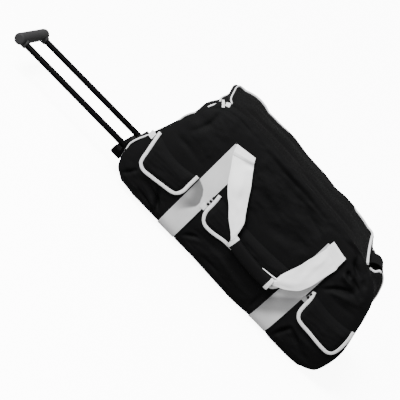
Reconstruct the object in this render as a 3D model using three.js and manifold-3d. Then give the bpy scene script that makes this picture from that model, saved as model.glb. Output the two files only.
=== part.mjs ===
// A wheeled tool bag: a soft box of sewn fabric panels with a zipped lid, three flap pockets,
// webbing straps that become carry handles, two wheels and a pull-out trolley handle.
// Millimetres, +Z up. The bag lies on its base: +X runs to the wheel end, -Y is the front.
import * as THREE from "three";
import { mergeVertices } from "three/addons/utils/BufferGeometryUtils.js";
import Module from "manifold-3d";

const wasm = await Module();
wasm.setup();

// A table of numbers: each row becomes an object with the named columns
function table(columns, rows) {
  return rows.map((row) => Object.fromEntries(columns.map((column, k) => [column, row[k]])));
}

// Driving dimensions
const FABRIC = 2.5; // wall of the bag panels
const GAP = 0.35; // clearance between neighbouring pieces
const BASE_Z = 10; // underside of the base above the floor
const RIM = { rise: 15, sag: 23, crown: 18, halfLength: 247 }; // the rim's line from handle end to wheel end
const CORNER_DROP = 14; // how far front and back fall away at the corner seams
const CORNER_POWER = 10; // how tight that fall is

const WEBBING = { width: 52, thickness: 2 };
const STRAPS = [
  { name: "strap_left", x: -146, top: 287 },
  { name: "strap_right", x: 163, top: 279 },
];

const FLAP = { top: 175, bottom: 88, thickness: 3, standOff: 3.5, radius: 26, puff: 2 };
const TRIM = { width: 9, thickness: 5 };
const PIPING_RADIUS = 2.6;

const LID = { halfLength: 238, halfWidth: 99, crown: 5, cornerLift: 9, zipWidth: 7, pipingRadius: 3.6 };

const ROD = { radius: 7.5, spread: 62.5, z: 64, outerEnd: -706, innerEnd: -215 };
const GRIP = { depth: 26, height: 26, width: 162, inner: -697, socketClearance: 0.4 };
const BEZEL = { outer: -356, inner: -300, halfWidth: 82, low: 45, high: 83, bore: 8.1 };
const LIP = { outer: -374, halfWidth: 85, low: 36, high: 50, corner: 9 };
const TUBE = { inner: 8.2, outer: 10 };

const WHEEL = { radius: 32, width: 24, x: 300, y: 78, hubRadius: 20, axleRadius: 4 };
const CHASSIS = { inner: 250, top: 78, wellClearance: 3.5 };
const FOOT = { length: 74, width: 26, x: -236, y: 78 };

// One row for each flap pocket of the front
const FLAPS = [
  { name: "left", x0: -314, x1: -177 },
  { name: "middle", x0: -109, x1: 133 },
  { name: "right", x0: 204, x1: 330 },
];

// One row for each level of the bag, from the base edge up to the rim: how far the panels reach
// from the middle, and how far the middle of each end swells out (or caves in)
const LEVELS = table(
  ["z", "halfWidth", "handleReach", "handleBack", "handleSwell", "wheelReach", "wheelSwell"],
  [
    [10, 120, 300, 298, 0, 299, 0],
    [22, 129, 314, 311, -2, 318, 1],
    [40, 134.5, 327, 321, -4, 331, 2],
    [85, 139, 341, 328, -7, 340, 5],
    [130, 140, 333, 311, -9, 341, 5],
    [185, 138, 313, 283, -12, 333, 0],
    [235, 133, 295, 262, -14, 321, -10],
    [275, 126, 278, 252, -12, 305, -25],
    [300, 116, 263, 257, -6, 279, -19],
    [311, 104, 246, 271, 0, 246, -2],
  ],
);

// One row for each main fold of the front and back: a line on the panel, its depth (in is negative)
// and its half width
const FOLDS = table(
  ["x0", "z0", "x1", "z1", "depth", "reach"],
  [
    [-90, 282, 70, 262, -9, 16],
    [-60, 300, 150, 284, 6, 14],
    [30, 150, 120, 190, -5, 22],
    [-250, 60, -150, 30, -6, 14],
    [-100, 62, 110, 70, -6, 14],
    [215, 215, 300, 262, -8, 15],
    [200, 60, 300, 40, -6, 16],
    [-290, 190, -185, 178, -7, 11],
  ],
);

const COLOUR = { fabric: 0x17171a, webbing: 0xe4e4e4, plastic: 0x0f0f10, grip: 0x3a3a3c, rubber: 0x19191a };

function material(color, roughness, metalness = 0) {
  return new THREE.MeshStandardMaterial({ color, roughness, metalness });
}
const MATERIAL = {
  fabric: material(COLOUR.fabric, 0.85),
  lid: material(COLOUR.fabric, 0.85),
  webbing: material(COLOUR.webbing, 0.8),
  trim: material(COLOUR.webbing, 0.75),
  zip: material(COLOUR.plastic, 0.6),
  rod: material(COLOUR.plastic, 0.35, 0.7),
  grip: material(COLOUR.grip, 0.6),
  plastic: material(COLOUR.plastic, 0.55),
  rubber: material(COLOUR.rubber, 0.9),
};

const V = (x, y, z) => new THREE.Vector3(x, y, z);
const lerp = THREE.MathUtils.lerp;
const clamp01 = (v) => THREE.MathUtils.clamp(v, 0, 1);
const range = (count) => [...Array(count).keys()];
const bag = new THREE.Group();

function addPiece(name, geometry, look) {
  const mesh = new THREE.Mesh(geometry, look);
  mesh.name = name;
  bag.add(mesh);
  return mesh;
}

// A geometry from points and faces, turned so that its faces point out
function closedGeometry(points, faces) {
  const wedge = ([a, b, c]) => points[a].dot(points[b].clone().cross(points[c]));
  const volume = faces.reduce((sum, face) => sum + wedge(face), 0);
  const index = faces.flatMap(([a, b, c]) => (volume > 0 ? [a, b, c] : [a, c, b]));
  const geometry = new THREE.BufferGeometry().setFromPoints(points);
  geometry.setIndex(index);
  geometry.computeVertexNormals();
  return geometry;
}

// A wall between two grids of points, closed round its edge
function wallGeometry(outer, inner, columns, rows) {
  const at = (layer, i, j) => layer * (columns + 1) * (rows + 1) + j * (columns + 1) + i;
  const points = [];
  for (const face of [outer, inner]) {
    for (let j = 0; j <= rows; j++) {
      for (let i = 0; i <= columns; i++) points.push(face(i / columns, j / rows));
    }
  }
  const faces = [];
  const quad = (a, b, c, d) => faces.push([a, b, c], [a, c, d]);
  for (let j = 0; j < rows; j++) {
    for (let i = 0; i < columns; i++) {
      quad(at(0, i, j), at(0, i + 1, j), at(0, i + 1, j + 1), at(0, i, j + 1));
      quad(at(1, i, j), at(1, i, j + 1), at(1, i + 1, j + 1), at(1, i + 1, j));
    }
  }
  for (let i = 0; i < columns; i++) {
    quad(at(0, i, 0), at(1, i, 0), at(1, i + 1, 0), at(0, i + 1, 0));
    quad(at(0, i, rows), at(0, i + 1, rows), at(1, i + 1, rows), at(1, i, rows));
  }
  for (let j = 0; j < rows; j++) {
    quad(at(0, 0, j), at(0, 0, j + 1), at(1, 0, j + 1), at(1, 0, j));
    quad(at(0, columns, j), at(1, columns, j), at(1, columns, j + 1), at(0, columns, j + 1));
  }
  return closedGeometry(points, faces);
}

// A solid swept through rings of points: capped at both ends, or joined into a loop
function sweptGeometry(rings, loop = false) {
  const sides = rings[0].length;
  const points = rings.flat();
  const faces = [];
  const steps = loop ? rings.length : rings.length - 1;
  for (let k = 0; k < steps; k++) {
    const next = (k + 1) % rings.length;
    for (let i = 0; i < sides; i++) {
      const j = (i + 1) % sides;
      faces.push([k * sides + i, k * sides + j, next * sides + j]);
      faces.push([k * sides + i, next * sides + j, next * sides + i]);
    }
  }
  if (!loop) {
    const last = (rings.length - 1) * sides;
    for (let i = 1; i < sides - 1; i++) faces.push([0, i + 1, i], [last, last + i, last + i + 1]);
  }
  return closedGeometry(points, faces);
}

// The four corners of a flat band: its middle line, the direction across it and the direction out of it
function bandRing(middle, across, out, width, thickness, lift = 0) {
  const corner = (side, level) => {
    const edge = middle.clone().addScaledVector(across, (side * width) / 2);
    return edge.addScaledVector(out, level);
  };
  return [corner(-1, lift), corner(1, lift), corner(1, lift + thickness), corner(-1, lift + thickness)];
}

// The points of a round tube's section
function roundRing(middle, sideways, upwards, radius, sides) {
  return range(sides).map((k) => {
    const angle = (k / sides) * 2 * Math.PI;
    return middle
      .clone()
      .addScaledVector(sideways, Math.cos(angle) * radius)
      .addScaledVector(upwards, Math.sin(angle) * radius);
  });
}

function solidOf(geometry) {
  const bare = geometry.clone();
  for (const name of Object.keys(bare.attributes)) {
    if (name !== "position") bare.deleteAttribute(name);
  }
  const merged = mergeVertices(bare, 1e-4);
  return new wasm.Manifold(
    new wasm.Mesh({
      numProp: 3,
      vertProperties: new Float32Array(merged.attributes.position.array),
      triVerts: new Uint32Array(merged.index.array),
    }),
  );
}

function geometryOf(solid) {
  const mesh = solid.getMesh();
  const geometry = new THREE.BufferGeometry();
  geometry.setAttribute("position", new THREE.BufferAttribute(mesh.vertProperties, mesh.numProp));
  geometry.setIndex(new THREE.BufferAttribute(mesh.triVerts, 1));
  geometry.computeVertexNormals();
  return geometry;
}

function boxBetween(low, high) {
  const size = high.clone().sub(low);
  const centre = low.clone().add(high).multiplyScalar(0.5);
  return new THREE.BoxGeometry(size.x, size.y, size.z).translate(centre.x, centre.y, centre.z);
}

// A round bar along an axis, centred on a point
function barAlong(axis, radius, length, centre, sides) {
  const bar = new THREE.CylinderGeometry(radius, radius, length, sides);
  if (axis === "x") bar.rotateZ(Math.PI / 2);
  return bar.translate(centre.x, centre.y, centre.z);
}

// The bag's form: a smooth curve through the levels
const levelCurves = Object.keys(LEVELS[0]).map((column) => ({
  column,
  curve: new THREE.SplineCurve(LEVELS.map((level, k) => new THREE.Vector2(k, level[column]))),
}));

function levelAt(t) {
  return Object.fromEntries(levelCurves.map(({ column, curve }) => [column, curve.getPoint(clamp01(t)).y]));
}

// The height at a level and a place along the bag: the rim is crowned and leans down to the wheel end
function leanedHeight(z, x) {
  const share = (z - BASE_Z) / (LEVELS.at(-1).z - BASE_Z);
  const k = x / RIM.halfLength;
  const lean = (-k * (RIM.rise + RIM.sag)) / 2 - (k * k * (RIM.sag - RIM.rise)) / 2;
  return z + share * lean + share ** 3 * RIM.crown * (1 - Math.min(1, k ** 6));
}

// The level at which a front panel's middle reaches a height
function levelOfHeight(z, x) {
  let [low, high] = [0, 1];
  for (let k = 0; k < 30; k++) {
    const middle = (low + high) / 2;
    if (leanedHeight(levelAt(middle).z, x) < z) low = middle;
    else high = middle;
  }
  return (low + high) / 2;
}

// Folds die out under the straps and the flaps, which hold the fabric flat
function foldRoom(x, z) {
  const besideStraps = STRAPS.map((strap) => clamp01((Math.abs(x - strap.x) - 60) / 30));
  const besideFlaps = FLAPS.map((flap) => {
    const outside = Math.max(flap.x0 - x, x - flap.x1, FLAP.bottom - z, z - FLAP.top);
    return clamp01((outside - 4) / 22);
  });
  return Math.min(...besideStraps, ...besideFlaps);
}

function foldDepth(x, z) {
  const sum = FOLDS.reduce((sum, fold) => {
    const along = new THREE.Vector2(fold.x1 - fold.x0, fold.z1 - fold.z0);
    const from = new THREE.Vector2(x - fold.x0, z - fold.z0);
    const share = clamp01(from.dot(along) / along.lengthSq());
    const away = from.sub(along.multiplyScalar(share)).length();
    return sum + fold.depth * Math.exp(-((away / fold.reach) ** 2));
  }, 0);
  return sum * foldRoom(x, z);
}

// How far the front or back reaches along the bag at a level, on the side of x
function longReach(side, x, level) {
  if (x > 0) return level.wheelReach;
  return side < 0 ? level.handleReach : level.handleBack;
}

// A point of the front (side -1) or back (side 1): s runs from the handle end to the wheel end,
// t from base to rim
function longPoint(side, s, t) {
  const level = levelAt(t);
  const x = s * longReach(side, s, level);
  const z = leanedHeight(level.z, x);
  const fadeAtEdges = (1 - Math.abs(s) ** 6) * clamp01(t * 8) * clamp01((1 - t) * 8);
  const depth = level.halfWidth - CORNER_DROP * Math.abs(s) ** CORNER_POWER + foldDepth(x, z) * fadeAtEdges;
  return V(x, side * depth, z);
}

// A point of an end panel (end -1 at the handle, 1 at the wheels): q runs across, t from base to rim
function endPoint(end, q, t) {
  const level = levelAt(t);
  const reach = end < 0 ? lerp(level.handleReach, level.handleBack, (q + 1) / 2) : level.wheelReach;
  const swell = end < 0 ? level.handleSwell : level.wheelSwell;
  const x = end * (reach + swell * (1 - q * q));
  return V(x, q * (level.halfWidth - CORNER_DROP), leanedHeight(level.z, x));
}

// A surface's outward direction, from two short steps along it
function outward(surface, a, b, away) {
  const step = 1e-3;
  const [a0, a1] = [Math.max(-1, a - step), Math.min(1, a + step)];
  const [b0, b1] = [Math.max(0, b - step), Math.min(1, b + step)];
  const alongA = surface(a1, b).sub(surface(a0, b));
  const alongB = surface(a, b1).sub(surface(a, b0));
  const normal = alongA.cross(alongB).normalize();
  return normal.dot(away) < 0 ? normal.negate() : normal;
}

const longOut = (side, s, t) => outward((a, b) => longPoint(side, a, b), s, t, V(0, side, 0.3));
const endOut = (end, q, t) => outward((a, b) => endPoint(end, a, b), q, t, V(end, 0, 0.3));

// The place on the front or back at a height and a distance along the bag, lifted off the fabric
function onLong(side, x, z, lift = 0) {
  const t = levelOfHeight(z, x);
  const level = levelAt(t);
  const s = x / longReach(side, x, level);
  return longPoint(side, s, t).addScaledVector(longOut(side, s, t), lift);
}

function outAtLong(side, x, z) {
  const t = levelOfHeight(z, x);
  return longOut(side, x / longReach(side, x, levelAt(t)), t);
}

// Bag panels
const LONG_GRID = { columns: 20, rows: 13 };
const END_GRID = { columns: 8, rows: 12 };

function longPanel(name, side) {
  const outer = (u, v) => longPoint(side, 2 * u - 1, v);
  const inner = (u, v) => outer(u, v).addScaledVector(longOut(side, 2 * u - 1, v), -FABRIC);
  addPiece(name, wallGeometry(outer, inner, LONG_GRID.columns, LONG_GRID.rows), MATERIAL.fabric);
}

function endPanel(name, end, lowest, cutter) {
  const tuck = 1 - (FABRIC + 5 * GAP) / (LEVELS[0].halfWidth - CORNER_DROP);
  const place = (u, v) => [(2 * u - 1) * tuck, lerp(lowest, 1, v)];
  const outer = (u, v) => endPoint(end, ...place(u, v));
  const inner = (u, v) => outer(u, v).addScaledVector(endOut(end, ...place(u, v)), -FABRIC);
  const panel = wallGeometry(outer, inner, END_GRID.columns, END_GRID.rows);
  addPiece(name, cutter ? geometryOf(solidOf(panel).subtract(solidOf(cutter))) : panel, MATERIAL.fabric);
}

longPanel("front_panel", -1);
longPanel("back_panel", 1);
const bezelWindow = boxBetween(
  V(BEZEL.outer - 30, -BEZEL.halfWidth - GAP, BEZEL.low - GAP),
  V(BEZEL.inner + 30, BEZEL.halfWidth + GAP, BEZEL.high + GAP),
);
endPanel("handle_end_panel", -1, 0, bezelWindow);
endPanel("wheel_end_panel", 1, levelOfHeight(CHASSIS.top + GAP, LEVELS[3].wheelReach));

// Base panel: a stiff plate inside the bottom edges of the panels
function basePanel() {
  const inset = FABRIC + 4 * GAP;
  const [x0, x1] = [-LEVELS[0].handleReach + inset + 2, CHASSIS.inner - GAP];
  const level = (z) => (u, v) => {
    const x = lerp(x0, x1, u);
    const half = -longPoint(-1, x / longReach(1, x, LEVELS[0]), 0).y - inset;
    return V(x, lerp(-half, half, v), z);
  };
  addPiece("base_panel", wallGeometry(level(BASE_Z), level(BASE_Z + 3), 16, 1), MATERIAL.plastic);
}
basePanel();

// The end seams' piping: up one corner, over the shoulder and down the other corner
function endPiping(name, end, lowest) {
  const topT = 0.9;
  const bendT = 0.8;
  const cornerPath = range(9).map((k) => ({ q: -1, t: lerp(lowest, bendT, k / 8) }));
  const bend = range(3).map((k) => {
    const angle = ((k + 1) / 4) * (Math.PI / 2);
    return { q: -1 + 0.16 * (1 - Math.cos(angle)), t: lerp(bendT, topT, Math.sin(angle)) };
  });
  const half = [...cornerPath, ...bend, { q: -0.7, t: topT }, { q: -0.45, t: topT }, { q: -0.15, t: topT }];
  const path = [...half, ...half.map((step) => ({ q: -step.q, t: step.t })).reverse()];
  const clearOfPanel = GAP + 0.8;
  const middles = path.map(({ q, t }) => {
    const atCorner = clamp01((Math.abs(q) - 0.9) * 10);
    const diagonal = V(end, Math.sign(q), 0).normalize();
    const direction = endOut(end, q, t).lerp(diagonal, atCorner).normalize();
    return endPoint(end, q, t).addScaledVector(direction, PIPING_RADIUS + clearOfPanel + 1.8 * atCorner);
  });
  const curve = new THREE.CatmullRomCurve3(middles, false, "centripetal");
  const steps = 36;
  const rings = range(steps + 1).map((k) => {
    const along = curve.getTangentAt(k / steps);
    const sideways = V(end, 0, 0).cross(along).normalize();
    return roundRing(curve.getPointAt(k / steps), sideways, along.clone().cross(sideways), PIPING_RADIUS, 6);
  });
  addPiece(name, sweptGeometry(rings), MATERIAL.trim);
}
endPiping("handle_end_piping", -1, 0.03);
endPiping("wheel_end_piping", 1, 0.03);

// Lid: a crowned panel sewn along its front edge, with zip and piping round the other three sides
function lidHeight(x, y) {
  const [a, b] = [x / LID.halfLength, y / LID.halfWidth];
  const crown = LID.crown * (1 - a * a) * (1 - b * b);
  const corner = (a * a * b * b) ** 2 * (x < 0 && y > 0 ? 1 : 0.4);
  return leanedHeight(LEVELS.at(-1).z, x) + crown + LID.cornerLift * Math.min(corner, 1);
}

// The lid is a little longer at the back of the handle end
function skewed(x, y) {
  const share = (y / LID.halfWidth + 1) / 2;
  return new THREE.Vector2(x * (x < 0 ? lerp(0.99, 1.12, share) : lerp(1.01, 0.98, share)), y);
}

// The lid's outline, drawn in by an inset: round corners at the front, tighter ones at the back
const LID_STEPS = { corner: 4, long: 8, short: 4 };

function lidOutline(inset) {
  const [a, b] = [LID.halfLength - inset, LID.halfWidth - inset];
  const corners = [
    { x: -1, y: -1, radius: 34 },
    { x: 1, y: -1, radius: 34 },
    { x: 1, y: 1, radius: 16 },
    { x: -1, y: 1, radius: 16 },
  ];
  const outline = [];
  corners.forEach((corner, k) => {
    const radius = Math.max(2, corner.radius - inset);
    const start = Math.PI * (1 + k / 2);
    for (let step = 0; step <= LID_STEPS.corner; step++) {
      const angle = start + (step / LID_STEPS.corner) * (Math.PI / 2);
      const x = corner.x * (a - radius) + radius * Math.cos(angle);
      const y = corner.y * (b - radius) + radius * Math.sin(angle);
      outline.push(skewed(x, y));
    }
    const next = corners[(k + 1) % 4];
    const nextRadius = Math.max(2, next.radius - inset);
    const from = outline.at(-1).clone();
    const to = skewed(
      next.x * (a - nextRadius) + nextRadius * Math.cos(start + Math.PI / 2),
      next.y * (b - nextRadius) + nextRadius * Math.sin(start + Math.PI / 2),
    );
    const pieces = k % 2 === 0 ? LID_STEPS.long : LID_STEPS.short;
    for (let step = 1; step < pieces; step++) outline.push(from.clone().lerp(to, step / pieces));
  });
  return outline;
}

// The zipped sides, from the front corner at the wheel end round the back to the one at the handle end
function zippedSides(inset) {
  const outline = lidOutline(inset);
  const half = LID_STEPS.corner / 2;
  return [...outline.slice(LID_STEPS.corner + LID_STEPS.long + half), ...outline.slice(0, half + 1)];
}

function lidRing(inset, radiusOrWidth, round) {
  const path = zippedSides(inset);
  const rings = path.map((point, k) => {
    const before = path[Math.max(0, k - 1)];
    const after = path[Math.min(path.length - 1, k + 1)];
    const along = after.clone().sub(before).normalize();
    const inwards = V(-along.y, along.x, 0);
    const middle = V(point.x, point.y, lidHeight(point.x, point.y));
    return round
      ? roundRing(middle.setZ(middle.z + 1.5), inwards, V(0, 0, 1), radiusOrWidth, 6)
      : bandRing(middle, inwards, V(0, 0, 1), radiusOrWidth, 1.6, -1.6);
  });
  return sweptGeometry(rings);
}

function lidPanel() {
  const inset = LID.zipWidth + 2 * LID.pipingRadius + 3 * GAP;
  const sewnEdge = [LID_STEPS.corner, LID_STEPS.corner + LID_STEPS.long];
  const outline = lidOutline(inset).map((point, k) =>
    k >= sewnEdge[0] && k <= sewnEdge[1] ? point.setY(-LID.halfWidth + 2 * GAP) : point,
  );
  const rings = 4;
  const points = [];
  const faces = [];
  for (const level of [0, -FABRIC]) {
    for (let k = rings; k > 0; k--) {
      for (const point of outline) {
        const [x, y] = [(point.x * k) / rings, (point.y * k) / rings];
        points.push(V(x, y, lidHeight(x, y) + level));
      }
    }
    points.push(V(0, 0, lidHeight(0, 0) + level));
  }
  const count = outline.length;
  const layer = rings * count + 1;
  for (const [offset, turn] of [[0, 1], [layer, -1]]) {
    for (let k = 0; k < rings; k++) {
      for (let i = 0; i < count; i++) {
        const j = (i + 1) % count;
        const at = (ring, n) => offset + (ring < rings ? ring * count + n : rings * count);
        const triangles = [[at(k, i), at(k, j), at(k + 1, j)]];
        if (k + 1 < rings) triangles.push([at(k, i), at(k + 1, j), at(k + 1, i)]);
        for (const [p, q, r] of triangles) faces.push(turn > 0 ? [p, q, r] : [p, r, q]);
      }
    }
  }
  for (let i = 0; i < count; i++) {
    const j = (i + 1) % count;
    faces.push([layer + i, layer + j, j], [layer + i, j, i]);
  }
  addPiece("lid_panel", closedGeometry(points, faces), MATERIAL.lid);
}
addPiece("lid_zip", lidRing(LID.zipWidth / 2, LID.zipWidth, false), MATERIAL.zip);
addPiece("lid_piping", lidRing(LID.zipWidth + GAP + LID.pipingRadius, LID.pipingRadius, true), MATERIAL.trim);
lidPanel();

// Straps: webbing sewn from the front, under the base and up the back
function strap({ name, x, top }) {
  const { width, thickness } = WEBBING;
  const lastRow = Math.floor(levelOfHeight(top, x) * LONG_GRID.rows);
  const levels = [...range(lastRow + 1).map((row) => row / LONG_GRID.rows), levelOfHeight(top, x)];
  const wallRing = (side, t) => {
    const corner = (edge, lift) => {
      const s = (x + (edge * width) / 2) / longReach(side, x, levelAt(t));
      return longPoint(side, s, t).addScaledVector(longOut(side, s, t), lift);
    };
    const top = GAP + thickness;
    return [corner(side, GAP), corner(-side, GAP), corner(-side, top), corner(side, top)];
  };
  const under = (y) => bandRing(V(x, y, BASE_Z - GAP), V(1, 0, 0), V(0, 0, -1), width, thickness);
  const edge = LEVELS[0].halfWidth - 6;
  const front = levels.map((t) => wallRing(-1, t)).reverse();
  const back = levels.map((t) => wallRing(1, t)).map(([a, b, c, d]) => [b, a, d, c]);
  addPiece(name, sweptGeometry([...front, under(-edge), under(0), under(edge), ...back]), MATERIAL.webbing);
}
STRAPS.forEach(strap);

// Carry handles: each loop hangs from the strap tops and is folded narrow inside a wrapped grip
// One row for each point of the loop: place on the panel, stand-off from it, and the webbing's section
const LOOP = table(
  ["x", "z", "lift", "width", "thickness"],
  [
    [-145, 286, 3.9, 52, 2],
    [-134, 270, 6.2, 52, 2],
    [-114, 246, 9.5, 54, 2.2],
    [-86, 211, 13, 52, 2.6],
    [-58, 179, 17, 45, 3.4],
    [-37, 152, 20, 30, 4.8],
    [-23, 128, 21, 21, 6],
    [-8, 110, 21, 20, 6.5],
    [28, 104, 21, 20, 6.5],
    [70, 102, 21, 20, 6.5],
    [107, 104, 21, 22, 6],
    [125, 119, 21, 28, 5.4],
    [138, 140, 20, 42, 4.2],
    [148, 165, 17, 52, 3],
    [153, 195, 13, 54, 2.4],
    [159, 234, 9.5, 54, 2.2],
    [163, 262, 6.2, 52, 2],
    [165, 278, 3.9, 52, 2],
  ],
);
const GRIP_ROWS = { first: 7, last: 10 };
const GRIP_WRAP = { width: 33, thickness: 17, steps: 6 };

function loopFrames(side) {
  const middles = LOOP.map((row) => onLong(side, row.x, row.z, row.lift));
  const curve = new THREE.CatmullRomCurve3(middles, false, "centripetal");
  const last = LOOP.length - 1;
  return (place) => {
    const share = place / last;
    const along = curve.getTangent(share);
    const row = LOOP[Math.min(last, Math.round(place))];
    const out = outAtLong(side, row.x, row.z);
    const across = out.clone().cross(along).normalize();
    const low = LOOP[Math.floor(place)];
    const high = LOOP[Math.ceil(place)];
    const part = place - Math.floor(place);
    return {
      middle: curve.getPoint(share),
      across,
      out: along.clone().cross(across).normalize(),
      width: lerp(low.width, high.width, part),
      thickness: lerp(low.thickness, high.thickness, part),
    };
  };
}

function carryHandle(name, side) {
  const frameAt = loopFrames(side);
  const places = range(2 * LOOP.length - 1).map((k) => k / 2);
  const rings = places.map((place) => {
    const f = frameAt(place);
    return bandRing(f.middle, f.across, f.out, f.width, f.thickness, -f.thickness / 2);
  });
  addPiece(name, sweptGeometry(rings), MATERIAL.webbing);
}

function gripWrap(name, side) {
  const frameAt = loopFrames(side);
  const { first, last } = GRIP_ROWS;
  const places = range(GRIP_WRAP.steps + 1).map((k) => lerp(first, last, k / GRIP_WRAP.steps));
  const ringOf = (place, width, thickness, sides) => {
    const f = frameAt(place);
    return range(sides).map((k) => {
      const angle = ((k + 0.5) / sides) * 2 * Math.PI;
      const [c, s] = [Math.cos(angle), Math.sin(angle)];
      const squareness = 0.55;
      const along = Math.sign(c) * Math.abs(c) ** squareness * (width / 2);
      const up = Math.sign(s) * Math.abs(s) ** squareness * (thickness / 2);
      return f.middle.clone().addScaledVector(f.across, along).addScaledVector(f.out, up);
    });
  };
  const row = LOOP[first];
  const widest = Math.max(...LOOP.slice(first, last + 1).map((r) => r.width));
  const outer = places.map((place) => ringOf(place, GRIP_WRAP.width, GRIP_WRAP.thickness, 10));
  const bore = places.map((place) => ringOf(place, widest + 5, row.thickness + 3, 10)).reverse();
  addPiece(name, sweptGeometry([...outer, ...bore], true), MATERIAL.fabric);
}
for (const [word, side] of [["front", -1], ["back", 1]]) {
  carryHandle(`carry_handle_${word}`, side);
  gripWrap(`handle_grip_${word}`, side);
}

// Flap pockets: a flap hanging from a seam on the front, bound round its three free sides
// The flap's free edge as a path: down one side, along the bottom and up the other side
function flapEdge(flap, inset) {
  const [x0, x1] = [flap.x0 + inset, flap.x1 - inset];
  const low = FLAP.bottom + inset;
  const radius = FLAP.radius - inset;
  const path = [];
  for (const share of [0, 0.34, 0.67]) path.push({ x: x0, z: lerp(FLAP.top, low + radius, share) });
  for (let k = 0; k <= 4; k++) {
    const angle = (k / 4) * (Math.PI / 2);
    path.push({ x: x0 + radius * (1 - Math.cos(angle)), z: low + radius * (1 - Math.sin(angle)) });
  }
  const spans = flap.x1 - flap.x0 > 200 ? 6 : 3;
  for (let k = 1; k < spans; k++) path.push({ x: lerp(x0 + radius, x1 - radius, k / spans), z: low });
  for (let k = 4; k >= 0; k--) {
    const angle = (k / 4) * (Math.PI / 2);
    path.push({ x: x1 - radius * (1 - Math.cos(angle)), z: low + radius * (1 - Math.sin(angle)) });
  }
  for (const share of [0.67, 0.34, 0]) path.push({ x: x1, z: lerp(FLAP.top, low + radius, share) });
  return path;
}

// A flap stands off the panel more towards its free edge
function flapLift(z) {
  return GAP + FLAP.standOff * clamp01((FLAP.top - z) / (FLAP.top - FLAP.bottom)) ** 0.7 + 1;
}

function flapTrim(flap) {
  const path = flapEdge(flap, TRIM.width / 2);
  const rings = path.map(({ x, z }, k) => {
    const before = path[Math.max(0, k - 1)];
    const after = path[Math.min(path.length - 1, k + 1)];
    const along = new THREE.Vector2(after.x - before.x, after.z - before.z).normalize();
    const [dx, dz] = [(-along.y * TRIM.width) / 2, (along.x * TRIM.width) / 2];
    const lift = flapLift(z) - (TRIM.thickness - FLAP.thickness) / 2;
    const corner = (side, level) => onLong(-1, x + side * dx, z + side * dz, lift + level);
    return [corner(-1, 0), corner(1, 0), corner(1, TRIM.thickness), corner(-1, TRIM.thickness)];
  });
  addPiece(`flap_${flap.name}_trim`, sweptGeometry(rings), MATERIAL.trim);
}

function flapPanel(flap) {
  const inset = TRIM.width + 2 * GAP;
  const columns = flap.x1 - flap.x0 > 200 ? 12 : 8;
  const rows = 7;
  const radius = FLAP.radius - inset;
  const [x0, x1, low] = [flap.x0 + inset, flap.x1 - inset, FLAP.bottom + inset];
  const place = (u, v) => {
    const z = lerp(low, FLAP.top, v);
    const below = clamp01((low + radius - z) / radius);
    const pull = radius * (1 - Math.sqrt(1 - below * below * 0.98));
    return [lerp(x0 + pull, x1 - pull, u), z];
  };
  const puff = (u, v) => FLAP.puff * Math.sin(Math.PI * u) * Math.sin(Math.PI * clamp01(v * 0.9 + 0.05));
  const level = (u, v, extra) => {
    const [x, z] = place(u, v);
    return onLong(-1, x, z, flapLift(z) + puff(u, v) + extra);
  };
  const outer = (u, v) => level(u, v, FLAP.thickness);
  const inner = (u, v) => level(u, v, 0);
  addPiece(`flap_${flap.name}`, wallGeometry(outer, inner, columns, rows), MATERIAL.fabric);
}

// The end of the pocket zip that shows beside the flap's upper corner
function zipTab(flap) {
  const size = { width: 8.5, height: 20, thickness: 2.4 };
  const x = flap.x0 - size.width / 2 - 0.6;
  const corners = (z) => [-1, 1].flatMap((side) => onLong(-1, x + (side * size.width) / 2, z, GAP));
  const rings = [FLAP.top - 26, FLAP.top - 26 + size.height].map((z) => {
    const [a, b] = corners(z);
    const [na, nb] = [outAtLong(-1, x - size.width / 2, z), outAtLong(-1, x + size.width / 2, z)];
    const lifted = (point, out) => point.clone().addScaledVector(out, size.thickness);
    return [a, b, lifted(b, nb), lifted(a, na)];
  });
  addPiece(`pocket_zip_${flap.name}`, sweptGeometry(rings), MATERIAL.trim);
}
for (const flap of FLAPS) {
  flapTrim(flap);
  flapPanel(flap);
  zipTab(flap);
}

// Grab loop: a bound tab of fabric on the shoulder of the wheel end
const GRAB = { width: 56, thickness: 3, trim: 7, q: -0.34 };

function grabLoop() {
  const middleY = GRAB.q * (LEVELS.at(-2).halfWidth - CORNER_DROP);
  const root = (y, t) => {
    const q = y / (levelAt(t).halfWidth - CORNER_DROP);
    return endPoint(1, q, t).addScaledVector(endOut(1, q, t), 7 * GAP).setY(y);
  };
  const [start, end] = [root(middleY, 0.975), root(middleY, 0.87)];
  const curve = new THREE.CatmullRomCurve3(
    [start, V(7, 0, 6), V(24, 0, 8), V(31, 0, 6), end.clone().add(V(13, 0, 1)), end].map((point, k) =>
      k > 0 && k < 4 ? point.add(start) : point,
    ),
    false,
    "centripetal",
  );
  const steps = 14;
  const band = (offset, width) =>
    range(steps + 1).map((k) => {
      const share = k / steps;
      const out = curve.getTangentAt(share).cross(V(0, 1, 0)).normalize();
      const rise = curve.getPointAt(share).sub(start.clone().lerp(end, share));
      const corner = (side, level) => {
        const y = middleY + offset + (side * width) / 2;
        return root(y, 0.975).lerp(root(y, 0.87), share).add(rise).addScaledVector(out, level);
      };
      return [corner(-1, 0), corner(1, 0), corner(1, GRAB.thickness), corner(-1, GRAB.thickness)];
    });
  addPiece("grab_loop", sweptGeometry(band(0, GRAB.width - 2 * GRAB.trim - 2 * GAP)), MATERIAL.fabric);
  const edge = (GRAB.width - GRAB.trim) / 2;
  addPiece("grab_loop_trim_front", sweptGeometry(band(-edge, GRAB.trim)), MATERIAL.trim);
  addPiece("grab_loop_trim_back", sweptGeometry(band(edge, GRAB.trim)), MATERIAL.trim);
}
grabLoop();

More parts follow.
